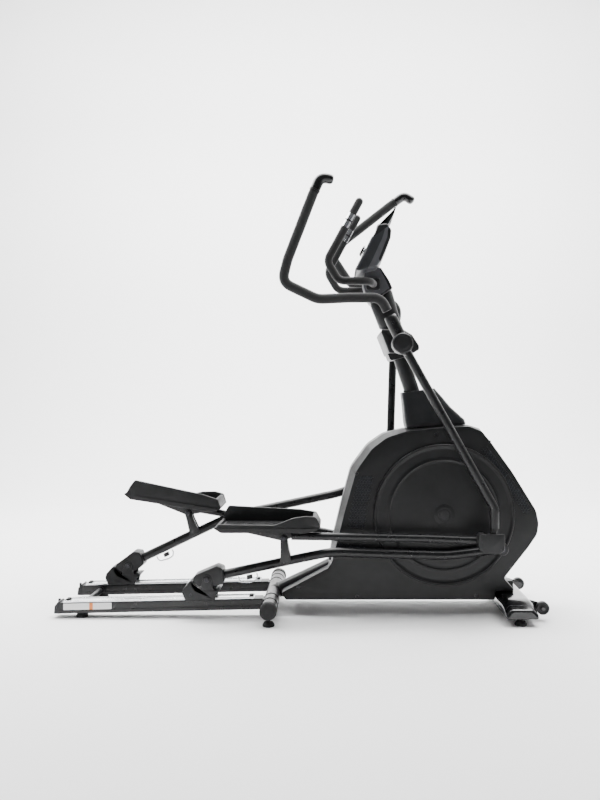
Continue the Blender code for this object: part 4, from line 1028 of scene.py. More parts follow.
def corner_rounded(outline, radii, steps=6):
    """An outline with the same number of points at every corner, so that levels match."""
    count = len(outline)
    rounded = []
    for index, radius in enumerate(radii):
        here = Vector(outline[index])
        back = Vector(outline[index - 1]) - here
        ahead = Vector(outline[(index + 1) % count]) - here
        turn = math.pi - back.angle(ahead)
        reach = min(radius * math.tan(turn / 2), 0.47 * back.length, 0.47 * ahead.length)
        start = here + back.normalized() * reach
        end = here + ahead.normalized() * reach
        for step in range(steps + 1):
            t = step / steps
            point = start * (1 - t) ** 2 + here * 2 * t * (1 - t) + end * t ** 2
            rounded.append((point.x, point.y))
    return rounded


def case_level(lean_share, extra):
    """The case's outline at one level, drawn in by a share of the lean and by more."""
    sharp = [(x, z) for x, z, lean, depth, radius in CASE_CORNERS]
    drawn_in = [lean * lean_share + extra for x, z, lean, depth, radius in CASE_CORNERS]
    return corner_rounded(inset(sharp, drawn_in), [corner[4] for corner in CASE_CORNERS])


def case_depths():
    """The seam's |y| at each point of a case level."""
    steps = len(case_level(0.0, 0.0)) // len(CASE_CORNERS)
    return [depth for x, z, lean, depth, radius in CASE_CORNERS for step in range(steps)]


def case_half():
    """One half of the shell: side panel, rounded shoulder and rim down to the seam."""
    shoulder = 0.0060
    depths = [max(depth, 0.0010) for depth in case_depths()]
    rings = []
    for drawn_in, dropped in ((1.0, 0.0), (0.45, 0.08), (0.15, 0.30), (0.0, 0.80)):
        level = case_level(1.0, shoulder * drawn_in)
        rings.append([(x, CASE_HALF - shoulder * dropped, z) for x, z in level])
    rings.append([(x, depth, z) for (x, z), depth in zip(case_level(0.0, 0.0), depths)])
    rings.append([(x, depth, z) for (x, z), depth in zip(case_level(0.0, CASE_WALL), depths)])
    rings.append([(x, CASE_HALF - 0.0062, z)
                  for x, z in case_level(1.0, CASE_WALL + 0.0015)])
    return loft(rings)


# Screw holes in the side panel: x, z.
CASE_SCREWS = [(0.5369, 0.7119), (0.7514, 0.6833), (0.2222, 0.5566), (0.2234, 0.0683),
               (0.6966, 0.0718), (0.1161, 0.2168), (-0.0103, 0.1050)]
REAR_SCALES = [(0.2240, 0.5440), (0.2900, 0.5560), (0.2520, 0.3321), (0.1790, 0.3440)]
LOWER_SCALES = [(0.1420, 0.2860), (0.2560, 0.2700), (0.2740, 0.2440), (0.1500, 0.2470)]
FRONT_SCALES = [(0.7000, 0.6560), (0.7380, 0.6670), (0.8300, 0.5470), (0.9200, 0.4120),
                (0.8830, 0.3900), (0.8020, 0.5240)]


def inside(point, outline, margin=0.0):
    """Whether a side-view point lies inside a convex outline, clear of its edge."""
    area = sum(outline[i - 1][0] * outline[i][1] - outline[i][0] * outline[i - 1][1]
               for i in range(len(outline)))
    sign = 1.0 if area > 0 else -1.0
    for index in range(len(outline)):
        a, b = Vector(outline[index - 1]), Vector(outline[index])
        edge = (b - a).normalized()
        offset = Vector(point) - a
        if sign * (edge.x * offset.y - edge.y * offset.x) < margin:
            return False
    return True


def hexagon_grid(outlines, pitch, margin):
    """Centres of a hexagonal grid that lie inside any of the outlines."""
    centres = []
    xs = [x for outline in outlines for x, z in outline]
    zs = [z for outline in outlines for x, z in outline]
    row, z = 0, min(zs)
    while z < max(zs):
        x = min(xs) + (pitch / 2 if row % 2 else 0.0)
        while x < max(xs):
            if any(inside((x, z), outline, margin) for outline in outlines):
                centres.append((x, z))
            x += pitch
        z += pitch * math.sqrt(3) / 2
        row += 1
    return centres


def build_case():
    pitch = 0.0118
    depth = 0.0022
    tree, sockets = plate_tree(finishes["case_scale"])
    screw, screw_sockets = screw_tree(finishes["dark_screw"])
    split = [FRONT_SCALES[:3] + [FRONT_SCALES[5]], FRONT_SCALES[2:]]
    for name, side in (("right", -1), ("left", 1)):
        half = case_half()
        cuts = [turned([(0.020, 0.05), (0.020, 0.12)], (CRANK[0], 0, CRANK[1]), sides=48),
                tube([(-0.10, 0, CROSSBAR[1] + SPINE_SLOPE * (-0.10 - CROSSBAR[0])),
                      (0.30, 0, CROSSBAR[1] + SPINE_SLOPE * (0.30 - CROSSBAR[0]))], 0.0325, 48),
                block((0.70, 0.880), (-BEAM_HALF - 0.002, BEAM_HALF + 0.002), (0.060, 0.1145))]
        for outline in (REAR_SCALES, LOWER_SCALES, FRONT_SCALES):
            cuts.append(prism(rounded_outline(outline, 0.006, 4), CASE_HALF - depth,
                              CASE_HALF + 0.01))
        for x, z in CASE_SCREWS:
            cuts.append(turned([(0.0062, CASE_HALF - 0.0050), (0.0072, CASE_HALF + 0.001)],
                               (x, 0, z), sides=32))
        half = for_side(cut_from(half, *cuts), side)
        piece(f"case_half_{name}", half, finishes["case_panel"], "frame",
              [f"side_case_{name}"], smooth=32)

        outward = Vector((0, side, 0))
        centres = hexagon_grid([REAR_SCALES, LOWER_SCALES] + split, pitch, 0.0050)
        points = [(x, side * (CASE_HALF - depth - 0.0002), z) for x, z in centres]
        sizes = {"Plate radius": pitch * 0.56, "Plate height": 0.0018}
        scales = grown(tree, sockets, sizes, seed_points(points, [outward] * len(points)),
                       finishes["case_scale"])
        piece(f"case_scales_{name}", scales, finishes["case_scale"], "frame",
              smooth=20)
        points = [(x, side * (CASE_HALF - 0.0046), z) for x, z in CASE_SCREWS]
        sizes = {"Head radius": 0.0048, "Head height": 0.0024}
        heads = grown(screw, screw_sockets, sizes,
                      seed_points(points, [outward] * len(points)), finishes["dark_screw"])
        piece(f"case_screws_{name}", heads, finishes["dark_screw"], "frame")

    steps = len(case_depths()) // len(CASE_CORNERS)
    run = slice(STRIP_FIRST * steps, (STRIP_LAST + 1) * steps)
    outer = case_level(0.0, 0.0006)[run]
    inner = case_level(0.0, CASE_WALL)[run]
    strip = prism(outer + inner[::-1], -SEAM_HALF + 0.0006, SEAM_HALF - 0.0006)
    strip = cut_from(strip, block((0.460, 0.560), (-0.034, 0.034), (0.70, 0.80)))
    piece("case_centre_strip", strip, finishes["case_panel"], "frame",
          ["case_strip"], smooth=30)


def build_crank_covers():
    """The big turning discs: a bright outer ridge, a step and a domed middle."""
    for name, side in (("right", -1), ("left", 1)):
        profile = [(0.0135, 0.1080), (0.0135, 0.1148), (0.0300, 0.1148), (0.0420, 0.1128),
                   (0.0960, 0.1118), (0.2060, 0.1098), (0.2130, 0.1102), (0.2160, 0.1128),
                   (0.2190, 0.1132), (0.2220, 0.1112), (0.2300, 0.1102), (0.2600, 0.1104),
                   (0.2680, 0.1118), (0.2700, 0.1142), (0.2735, 0.1149), (0.2770, 0.1140),
                   (0.2798, 0.1105), (0.2800, 0.1060), (0.2780, 0.1030), (0.0400, 0.1030),
                   (0.0300, 0.1030), (0.0135, 0.1030)]
        disc = turned(rounded_profile(profile, 0.004, 3), (CRANK[0], 0, CRANK[1]), sides=128,
                      closed=True)
        piece(f"crank_cover_{name}", for_side(disc, side), finishes["crank_cover"],
              "crank", [f"crank_disc_{name}"], smooth=28)


def build_crank_hubs():
    """The dark caps that close the turning discs' centres over the axle's ends."""
    for name, side in (("right", -1), ("left", 1)):
        cap = turned(rounded_profile([(0.0010, 0.1165), (0.0190, 0.1163), (0.0235, 0.1150),
                                      (0.0240, 0.1120), (0.0010, 0.1120)], 0.0010, 3),
                     (CRANK[0], 0, CRANK[1]), sides=64)
        piece(f"crank_hub_{name}", for_side(cap, side), finishes["trim_black"],
              "crank")


def build_drive():
    """The hidden drive keeps its solids, each in its own finish."""
    for node, finish in (("crank_axle", "bright_steel"), ("drive_pulley", "frame_paint"),
                         ("flywheel", "iron"), ("drive_belt", "rubber"),
                         ("brake_caliper", "bright_steel"), ("pivot_axle", "bright_steel")):
        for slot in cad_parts[node].material_slots:
            slot.material = finishes[finish]


# ---- mast --------------------------------------------------------------------------
MAST_HALF_X, MAST_HALF_Y = 0.033, 0.027
HEAD_X, HEAD_Y = 0.045, 0.036


def mast_ring(height, half_x, half_y, lift=0.0, sides=48):
    ring = []
    for side in range(sides):
        angle = 2 * math.pi * side / sides
        x, y = half_x * math.cos(angle), half_y * math.sin(angle)
        ring.append((mast_x(height) + x, y, height + lift * x))
    return ring


def boot_ring(z, rear, front, half, lift=0.0):
    """One level of the mast's boot: a rounded box, higher at its front by the lift."""
    outline = rounded_outline([(rear, -half), (rear, half), (front, half), (front, -half)],
                              0.42 * half, 6)
    return [(x, y, z + lift * (x - rear) / (front - rear)) for x, y in outline]


def build_mast():
    mast = loft([mast_ring(0.757, MAST_HALF_X, MAST_HALF_Y),
                 mast_ring(1.134, MAST_HALF_X, MAST_HALF_Y),
                 mast_ring(1.138, MAST_HALF_X + 0.003, MAST_HALF_Y + 0.003, 0.08),
                 mast_ring(1.147, HEAD_X - 0.001, HEAD_Y - 0.001, 0.2),
                 mast_ring(1.152, HEAD_X, HEAD_Y, 0.24), mast_ring(1.262, HEAD_X, HEAD_Y, 0.68),
                 mast_ring(1.268, HEAD_X - 0.002, HEAD_Y - 0.002, 0.7)])
    bore = turned([(0.0128, -0.05), (0.0128, 0.05)], (SWING[0], 0, SWING[1]), sides=32)
    piece("mast_tube", cut_from(mast, bore), finishes["frame_paint"], "frame",
          ["mast"])

    levels = [(0.7362, 0.4235, 0.6640, 0.0640, 0.0150), (0.7400, 0.4225, 0.6655, 0.0645, 0.0145),
              (0.7600, 0.4180, 0.6600, 0.0620, 0.0100), (0.7900, 0.4155, 0.6325, 0.0590, 0.0050),
              (0.8200, 0.4130, 0.6050, 0.0560, 0.0), (0.8500, 0.4095, 0.5725, 0.0515, 0.0090),
              (0.8730, 0.4066, 0.5450, 0.0478, 0.0172), (0.8760, 0.4070, 0.5425, 0.0470, 0.0178),
              (0.8780, 0.4085, 0.5400, 0.0455, 0.0180)]
    boot = loft([boot_ring(*level) for level in levels])
    well = loft([mast_ring(z, MAST_HALF_X + 0.0012, MAST_HALF_Y + 0.0012) for z in (0.70, 0.95)])
    boot = cut_from(boot, well, block((0.462, 0.560), (-0.034, 0.034), (0.70, 0.7580)))
    piece("mast_cover", boot, finishes["boot_moulding"], "frame",
          ["mast_boot"], smooth=32)
    seal = loft([mast_ring(z, MAST_HALF_X + grow, MAST_HALF_Y + grow)
                 for z, grow in ((0.8800, 0.0002), (0.8800, 0.0030), (0.8850, 0.0030),
                                 (0.8865, 0.0018), (0.8865, 0.0002))])
    piece("mast_seal", seal, finishes["rubber"], "frame")


def build_mast_collar():
    """The moulded shroud round the swing axle, waisted below, and the hub bushes."""
    x, z = SWING
    outline = [(x - 0.034, z - 0.058), (x + 0.036, z - 0.040), (x + 0.074, z - 0.018),
               (x + 0.073, z - 0.002), (x + 0.046, z + 0.040), (x + 0.016, z + 0.058),
               (x - 0.072, z + 0.062), (x - 0.077, z + 0.052)]
    radii = [0.010, 0.012, 0.010, 0.008, 0.012, 0.012, 0.008, 0.008]
    collar = cushioned(rounded_outline(outline, radii, 5), -0.150, 0.150, 0.007, 4)
    hole = turned([(0.0134, -0.2), (0.0134, 0.2)], (x, 0, z), sides=48)
    well = loft([mast_ring(height, MAST_HALF_X + 0.0012, MAST_HALF_Y + 0.0012)
                 for height in (0.9, 1.2)])
    waist = [block((x - 0.2, x + 0.2), y, (z - 0.2, z - 0.030))
             for y in ((-0.2, -0.075), (0.075, 0.2))]
    collar = cut_from(collar, well, hole, *waist)
    piece("swing_shroud", collar, finishes["cover_moulding"], "frame",
          ["mast_collar"], smooth=32)
    bushes = [for_side(turned(rounded_profile([(0.0135, 0.1495), (0.0200, 0.1495),
                                               (0.0200, 0.1735), (0.0135, 0.1735)], 0.002),
                              (x, 0, z), sides=48), side) for side in (-1, 1)]
    piece("swing_bushes", gathered(*bushes), finishes["trim_black"], "frame")


# ---- swinging handlebars -----------------------------------------------------------
def handlebar_path():
    corners = [(-0.048, SWING_Y, 0.106), (-0.082, SWING_Y + 0.002, 0.175),
               (-0.205, SWING_Y + 0.014, 0.173), (-0.3214, GRIP_Y, 0.1634),
               (-0.4561, GRIP_Y, 0.2277), (-0.4343, GRIP_Y, 0.3129), (-0.3412, GRIP_Y, 0.5545),
               (-0.3115, GRIP_Y - 0.004, 0.6218), (-0.2620, GRIP_Y - 0.014, 0.6159)]
    return filleted(corners, 0.075, 10)


TIP_LENGTH = 0.098
GRIP_RADIUS = 0.0188


def build_swing(side_parts):
    name, side = side_parts["name"], side_parts["side"]
    body = f"{name}_swing"
    place = placed(SWING, turn=side_parts["swing_turn"])
    reach = (RIGHT["end"][0] - SWING[0], RIGHT["end"][1] - SWING[1])

    def stand(mesh):
        mesh = for_side(mesh, side)
        mesh.transform(place)
        return mesh

    shaft = tube(filleted([(0.0, SWING_Y, 0.0), (0.3525, SWING_Y, -0.630),
                           (0.3525, SWING_Y, -0.705)], 0.06, 12), 0.017, 40)
    tongue = softened(prism([(reach[0] - 0.0100, reach[1]), (reach[0] + 0.0100, reach[1]),
                             (0.3625, -0.686), (0.3425, -0.686)], SWING_Y - 0.008,
                            SWING_Y + 0.008), 0.0015)
    eye = turned([(0.0040, SWING_Y - 0.014), (0.0105, SWING_Y - 0.014),
                  (0.0105, SWING_Y + 0.016), (0.0040, SWING_Y + 0.016)],
                 (reach[0], 0, reach[1]), sides=40, closed=True)
    hub = turned(rounded_profile([(0.0130, 0.1752), (0.0330, 0.1752), (0.0400, 0.1800),
                                  (0.0400, 0.2350), (0.0372, 0.2365), (0.0372, 0.2395),
                                  (0.0395, 0.2410), (0.0395, 0.2500), (0.0330, 0.2556),
                                  (0.0130, 0.2556)], 0.0022, 3), sides=72)
    path = handlebar_path()
    heading = (path[1] - path[0]).normalized()
    socket_path = [path[0] - heading * 0.085, path[0] - heading * 0.018,
                   path[0] - heading * 0.004, path[0] - heading * 0.0003]
    socket = tube(socket_path, [0.0250, 0.0250, 0.0236, 0.0205], 48)
    piece(f"swing_lever_{name}", stand(gathered(shaft, tongue, eye, hub, socket)),
          finishes["arm_paint"], body, [f"swing_arm_{name}"])

    cap = turned(rounded_profile([(0.0010, 0.2590), (0.0210, 0.2588), (0.0300, 0.2568),
                                  (0.0316, 0.2545), (0.0316, 0.2500), (0.0010, 0.2500)], 0.0016,
                                 4), sides=72)
    piece(f"hub_cap_{name}", stand(cap), finishes["trim_black"], body)
    ring = turned(rounded_profile([(0.0320, 0.2552), (0.0332, 0.2570), (0.0352, 0.2564),
                                   (0.0356, 0.2535)], 0.0004, 2) + [(0.0320, 0.2535)],
                  sides=72, closed=True)
    piece(f"hub_ring_{name}", stand(ring), finishes["dark_screw"], body)

    length = path_length(path)
    tip_start = length - TIP_LENGTH
    bar = tube(part_of_path(path, 0.0, tip_start), 0.0145, 32)
    piece(f"handlebar_tube_{name}", stand(bar), finishes["arm_paint"], body,
          [f"handlebar_{name}"])
    stretch = part_of_path(path, 0.020, tip_start - 0.0006)
    grown_radii = [GRIP_RADIUS] * len(stretch)
    grown_radii[0], grown_radii[-1] = GRIP_RADIUS - 0.0022, GRIP_RADIUS - 0.0012
    stretch.insert(1, stretch[0].lerp(stretch[1], 0.10))
    grown_radii.insert(1, GRIP_RADIUS)
    sleeve = tube(stretch, grown_radii, 40)
    piece(f"foam_grip_{name}", stand(sleeve), finishes["foam"], body, [f"grip_{name}"])

    tip_path = part_of_path(path, tip_start, length)
    radii = []
    run = path_length(tip_path)
    at = 0.0
    for index, point in enumerate(tip_path):
        if index:
            at += (point - tip_path[index - 1]).length
        share = at / run
        swell = 0.0188 + 0.0010 * math.sin(math.pi * min(share * 1.15, 1.0))
        radii.append(swell)
    end = tip_path[-1]
    back = (tip_path[-2] - end).normalized()
    dome = [(0.0150, 0.0196), (0.0080, 0.0180), (0.0034, 0.0142), (0.0010, 0.0088),
            (0.0002, 0.0030)]
    tip_path = [point for point in tip_path if (point - end).length > 0.0180]
    radii = radii[:len(tip_path)]
    tip_path += [end + back * offset for offset, radius in dome]
    radii += [radius for offset, radius in dome]
    tip = tube(tip_path, radii, 40)
    piece(f"grip_tip_{name}", stand(tip), finishes["gloss_cover"], body,
          [f"handlebar_tip_{name}"])
    band = tube(part_of_path(path, tip_start - 0.0040, tip_start + 0.0030),
                0.0203, 40)
    piece(f"grip_band_{name}", stand(band), finishes["trim_black"], body)

    tree, sockets = screw_tree(finishes["dark_screw"])
    sizes = {"Head radius": 0.0058, "Head height": 0.0040}
    across = heading.cross(Vector((0, 1, 0))).normalized()
    points, normals = [], []
    for along in (0.030, 0.060):
        spot = path[0] - heading * along
        points.append(spot + Vector((0, 1, 0)) * 0.0258)
        normals.append(Vector((0, 1, 0)))
    points.append(path[0] - heading * 0.012 - across * 0.0245)
    normals.append(-across)
    bolts = grown(tree, sockets, sizes, seed_points(points, normals), finishes["dark_screw"])
    piece(f"socket_bolts_{name}", stand(bolts), finishes["dark_screw"], body)


# ---- pedal arms, links and pedals --------------------------------------------------
POST_ALONG, POST_ABOVE = 0.3094, 0.1275


def arm_path():
    corners = [(0.004, ARM_Y, 0.0), (0.370, ARM_Y, 0.041), (0.490, ARM_Y, 0.053),
               (0.640, ARM_Y, 0.032), (0.940, ARM_Y, -0.006), (ARM_LENGTH - 0.010, ARM_Y, -0.002)]
    return filleted(corners, 0.45, 10)


def build_pedal_arm(side_parts):
    name, side = side_parts["name"], side_parts["side"]
    body = f"{name}_arm"
    place = placed(side_parts["carriage"], side_parts["pin"])

    def stand(mesh):
        mesh = for_side(mesh, side)
        mesh.transform(place)
        return mesh

    shaft = tube(arm_path(), 0.018, 40)
    bearing = turned(rounded_profile([(0.0100, 0.1166), (0.0240, 0.1166), (0.0240, 0.1600),
                                      (0.0215, 0.1624), (0.0100, 0.1624)], 0.002),
                     (ARM_LENGTH, 0, 0), sides=56)
    nut = turned([(0.0010, 0.1600), (0.0110, 0.1600), (0.0115, 0.1655), (0.0090, 0.1668),
                  (0.0010, 0.1668)], (ARM_LENGTH, 0, 0), sides=6)
    washer = turned([(0.0010, 0.1620), (0.0150, 0.1620), (0.0150, 0.1634), (0.0010, 0.1634)],
                    (ARM_LENGTH, 0, 0), sides=40)
    barrel = turned([(0.0074, ARM_Y - 0.016), (0.014, ARM_Y - 0.016), (0.014, ARM_Y + 0.016),
                     (0.0074, ARM_Y + 0.016)], sides=40, closed=True)
    outline = [(POST_ALONG - 0.024, 0.026), (POST_ALONG + 0.022, 0.030),
               (POST_ALONG + 0.016, 0.080), (POST_ALONG + 0.013, POST_ABOVE),
               (POST_ALONG, POST_ABOVE + 0.013), (POST_ALONG - 0.013, POST_ABOVE),
               (POST_ALONG - 0.017, 0.080)]
    outline = rounded_outline(outline, [0.002, 0.002, 0.03, 0.012, 0.014, 0.012, 0.03], 5)
    inner = cushioned(outline, ARM_Y - 0.019, ARM_Y - 0.0115, 0.0008, 2)
    outer = cushioned(outline, ARM_Y + 0.0115, ARM_Y + 0.019, 0.0008, 2)
    pin = turned([(0.0010, ARM_Y - 0.0225), (0.0075, ARM_Y - 0.0225),
                  (0.0075, ARM_Y + 0.0225), (0.0010, ARM_Y + 0.0225)],
                 (POST_ALONG, 0, POST_ABOVE), sides=32)
    piece(f"pedal_arm_tube_{name}", stand(gathered(shaft, bearing, barrel, inner, outer)),
          finishes["arm_paint"], body, [f"pedal_arm_{name}"])
    hardware = [pin, nut, washer]
    for face in (-1, 1):
        hardware.append(turned(rounded_profile(
            [(0.0010, face * 0.0230), (0.0098, face * 0.0228), (0.0105, face * 0.0192),
             (0.0010, face * 0.0192)], 0.0008, 2), (POST_ALONG, ARM_Y, POST_ABOVE), sides=40))
    piece(f"arm_bolts_{name}", stand(gathered(*hardware)), finishes["dark_screw"], body)

    build_arm_cover(name, body, stand)
    build_latch(name, body, stand)


def build_arm_cover(name, body, stand):
    """The rear cover: two mouldings meeting on a centre seam, with a sunk bolt."""
    outline = [(-0.0535, 0.0075), (-0.0486, -0.0136), (-0.0325, -0.0241), (0.0320, -0.0310),
               (0.0600, -0.0200), (0.0660, -0.0120), (0.0640, 0.0360), (0.0400, 0.0480),
               (-0.0480, 0.0200)]
    radii = [0.008, 0.008, 0.012, 0.012, 0.008, 0.010, 0.010, 0.014, 0.012]
    outline = rounded_outline(outline, radii, 5)
    cover = cushioned(outline, ARM_Y - 0.0370, ARM_Y + 0.0370, 0.0060, 4)
    groove = [prism(inset(outline, -0.002), ARM_Y - 0.0006, ARM_Y + 0.0006)]
    core = prism(inset(outline, 0.0012), ARM_Y - 0.01, ARM_Y + 0.01)
    ring = cut_from(groove[0], core)
    room = [turned([(0.0150, ARM_Y - 0.018), (0.0150, ARM_Y + 0.018)], sides=32),
            turned([(0.0078, 0.05), (0.0078, 0.20)], sides=32),
            tube(arm_path(), 0.0188, 40)]
    dish = [turned([(0.0120, ARM_Y + face * 0.0345), (0.0128, ARM_Y + face * 0.0400)], sides=40)
            for face in (-1, 1)]
    cover = cut_from(cover, ring, *room, *dish)
    piece(f"arm_shroud_{name}", stand(cover), finishes["cover_moulding"], body,
          [f"arm_cover_{name}"], smooth=32)


def build_latch(name, body, stand):
    """The spring hook under the arm that holds it to its rail for storage."""
    shelf = Vector((0.118, ARM_Y, -0.0075))
    rod_path = [shelf, shelf + Vector((0.002, 0, -0.0150)), shelf + Vector((0.010, 0, -0.0235)),
                shelf + Vector((0.045, 0, -0.0265)), shelf + Vector((0.066, 0, -0.0215)),
                shelf + Vector((0.074, 0, -0.0060)), shelf + Vector((0.072, 0, 0.006))]
    hook = domed(filleted(rod_path, 0.010, 6), 0.0028, 20)
    block_body = cushioned(rounded_outline([(0.150, -0.0220), (0.172, -0.0200), (0.172, -0.0040),
                                            (0.150, -0.0060)], 0.003), ARM_Y - 0.009,
                           ARM_Y + 0.009, 0.0015)
    piece(f"latch_hook_{name}", stand(hook), finishes["bright_steel"], body)
    piece(f"latch_block_{name}", stand(block_body), finishes["trim_black"], body)


def build_link(side_parts):
    name, side = side_parts["name"], side_parts["side"]
    body = f"{name}_link"
    place = placed(side_parts["link"], side_parts["end"])

    def stand(mesh):
        mesh = for_side(mesh, side)
        mesh.transform(place)
        return mesh

    shaft = tube(filleted([(0.032, LINK_Y, 0.012), (0.330, LINK_Y, 0.008),
                           (0.560, LINK_Y + 0.001, 0.003), (LINK_LENGTH - 0.060, 0.182, -0.004),
                           (LINK_LENGTH, 0.182, 0.0)], 0.3, 8), 0.015, 40)
    wedge = softened(prism([(-0.195, 0.0292), (0.085, 0.0292), (0.085, 0.0165), (0.0, -0.013),
                            (-0.012, -0.012)], ARM_Y - 0.0060, ARM_Y + 0.0060), 0.0015)
    outrigger = softened(block((0.036, 0.085), (ARM_Y - 0.005, LINK_Y + 0.010),
                               (0.0165, 0.0290)), 0.002)
    barrel = turned([(0.0080, ARM_Y - 0.010), (0.0170, ARM_Y - 0.010), (0.0170, ARM_Y + 0.010),
                     (0.0080, ARM_Y + 0.010)], sides=48, closed=True)
    front = turned([(0.0010, 0.1680), (0.0200, 0.1680), (0.0200, 0.1985), (0.0010, 0.1985)],
                   (LINK_LENGTH, 0, 0), sides=48)
    piece(f"link_bar_{name}", stand(gathered(shaft, wedge, outrigger, barrel, front)),
          finishes["arm_paint"], body, [f"link_tube_{name}"])
    collar = tube([(LINK_LENGTH - 0.047, 0.182, -0.0035), (LINK_LENGTH - 0.024, 0.182, -0.0018)],
                  0.0166, 40)
    piece(f"link_collar_{name}", stand(collar), finishes["bright_steel"], body)
    build_pedal(name, stand, body)
    build_joint_cover(name, stand, body)


PEDAL_IN, PEDAL_OUT = 0.048, 0.218
PEDAL_WALL = 0.012


def build_pedal(name, stand, body):
    """The foot tray: a ribbed sole, a high inner wall, a low outer wall and a toe lip."""
    sole = [(-0.262, 0.046), (-0.236, 0.030), (0.096, 0.030), (0.128, 0.039), (0.148, 0.052),
            (0.120, 0.054), (0.096, 0.050), (-0.262, 0.052)]
    inner = [(-0.236, 0.031), (0.096, 0.031), (0.147, 0.052), (0.125, 0.088), (0.060, 0.098),
             (-0.228, 0.113), (-0.243, 0.085), (-0.256, 0.050)]
    outer = [(-0.236, 0.031), (0.096, 0.031), (0.147, 0.052), (0.128, 0.091), (0.090, 0.095),
             (0.036, 0.086), (-0.030, 0.060), (-0.246, 0.063), (-0.256, 0.050)]
    toe = [(0.110, 0.040), (0.1465, 0.052), (0.1265, 0.088), (0.114, 0.086)]
    heel = [(-0.255, 0.047), (-0.236, 0.047), (-0.240, 0.062), (-0.249, 0.062)]
    shapes = [
        cushioned(rounded_outline(sole, [0.004, 0.02, 0.04, 0.03, 0.004, 0.01, 0.02, 0.003]),
                  PEDAL_IN, PEDAL_OUT, 0.0030),
        cushioned(rounded_outline(inner, [0.02, 0.03, 0.008, 0.012, 0.08, 0.012, 0.02, 0.006]),
                  PEDAL_IN + 0.0003, PEDAL_IN + PEDAL_WALL, 0.0028),
        cushioned(rounded_outline(outer, [0.02, 0.03, 0.008, 0.014, 0.02, 0.05, 0.05, 0.006,
                                          0.006]),
                  PEDAL_OUT - PEDAL_WALL, PEDAL_OUT - 0.0003, 0.0028),
        cushioned(rounded_outline(toe, 0.004), PEDAL_IN + 0.004, PEDAL_OUT - 0.004, 0.0012),
        cushioned(rounded_outline(heel, 0.0025), PEDAL_IN + 0.004, PEDAL_OUT - 0.004, 0.0012)]
    tray = shapes[0]
    for shape in shapes[1:]:
        tray = joined(tray, shape)
    piece(f"foot_tray_{name}", stand(tray), finishes["pedal_moulding"], body,
          [f"pedal_{name}"], smooth=32)

    tree, sockets = bar_tree("tread_rib", finishes["pedal_moulding"], False)
    points, normals = [], []
    y = PEDAL_IN + PEDAL_WALL + 0.0052
    while y < PEDAL_OUT - PEDAL_WALL - 0.004:
        points.append((-0.0700, y, 0.05215))
        normals.append((0.0, 0.0, 1.0))
        y += 0.0064
    sizes = {"Bar length": 0.318, "Bar width": 0.0030, "Bar height": 0.0021}
    ribs = grown(tree, sockets, sizes, seed_points(points, normals), finishes["pedal_moulding"])
    ribs.transform(Matrix.Translation((-0.0700, 0, 0.0))
                   @ Matrix.Rotation(math.atan(0.0012), 4, "Y")
                   @ Matrix.Translation((0.0700, 0, 0.0)))
    piece(f"tread_ribs_{name}", stand(ribs), finishes["pedal_moulding"], body,
          smooth=20)

    wall_ribs, wall_normals = [], []
    for step in range(5):
        wall_ribs.append((-0.060, PEDAL_OUT - 0.0004, 0.0370 + 0.0045 * step))
        wall_normals.append((0.0, 1.0, 0.0))
    lines, line_sockets = bar_tree("side_rib", finishes["pedal_moulding"], False)
    sizes = {"Bar length": 0.300, "Bar width": 0.0016, "Bar height": 0.0011}
    ribs = grown(lines, line_sockets, sizes, seed_points(wall_ribs, wall_normals),
                 finishes["pedal_moulding"])
    piece(f"side_ribs_{name}", stand(ribs), finishes["pedal_moulding"], body,
          smooth=20)

    screw, screw_sockets = screw_tree(finishes["dark_screw"])
    spots = [(-0.150, ARM_Y, 0.0532), (-0.050, ARM_Y, 0.0530), (0.050, ARM_Y, 0.0525)]
    sizes = {"Head radius": 0.0060, "Head height": 0.0022}
    heads = grown(screw, screw_sockets, sizes, seed_points(spots, [(0, 0, 1)] * len(spots)),
                  finishes["dark_screw"])
    piece(f"tray_screws_{name}", stand(heads), finishes["dark_screw"], body)


def build_joint_cover(name, stand, body):
    """The cover round the handlebar's lower pivot, open where the lever comes in."""
    wall = 0.0022
    outline = [(0.036, -0.036), (0.042, -0.026), (0.042, 0.031), (-0.052, 0.031),
               (-0.058, 0.022), (-0.058, -0.022), (-0.044, -0.040), (-0.020, -0.045),
               (0.020, -0.045)]
    outline = [(LINK_LENGTH + x, z) for x, z in outline]
    radii = [0.010, 0.008, 0.004, 0.006, 0.010, 0.012, 0.012, 0.012, 0.012]
    rim = rounded_outline(outline, radii, 5)
    cover = cushioned(rim, 0.1990, 0.2450, 0.0040, 4)
    cavity = prism(inset(rim, wall), 0.2005, 0.2450 - wall)
    slot = block((LINK_LENGTH - 0.0340, LINK_LENGTH + 0.0600), (0.2005, 0.2450 - wall),
                 (0.0190, 0.040))
    window = block((LINK_LENGTH - 0.034, LINK_LENGTH + 0.0390), (0.19, 0.21), (-0.0415, 0.040))
    cover = cut_from(cover, cavity, slot, window)
    piece(f"pivot_cover_{name}", stand(cover), finishes["cover_moulding"], body,
          [f"joint_cover_{name}"], smooth=32)
    screw, sockets = screw_tree(finishes["dark_screw"])
    spots = [(LINK_LENGTH - 0.046, 0.2446, 0.0), (LINK_LENGTH + 0.028, 0.2446, -0.030)]
    sizes = {"Head radius": 0.0036, "Head height": 0.0020}
    heads = grown(screw, sockets, sizes, seed_points(spots, [(0, 1, 0)] * len(spots)),
                  finishes["dark_screw"])
    piece(f"pivot_screws_{name}", stand(heads), finishes["dark_screw"], body)


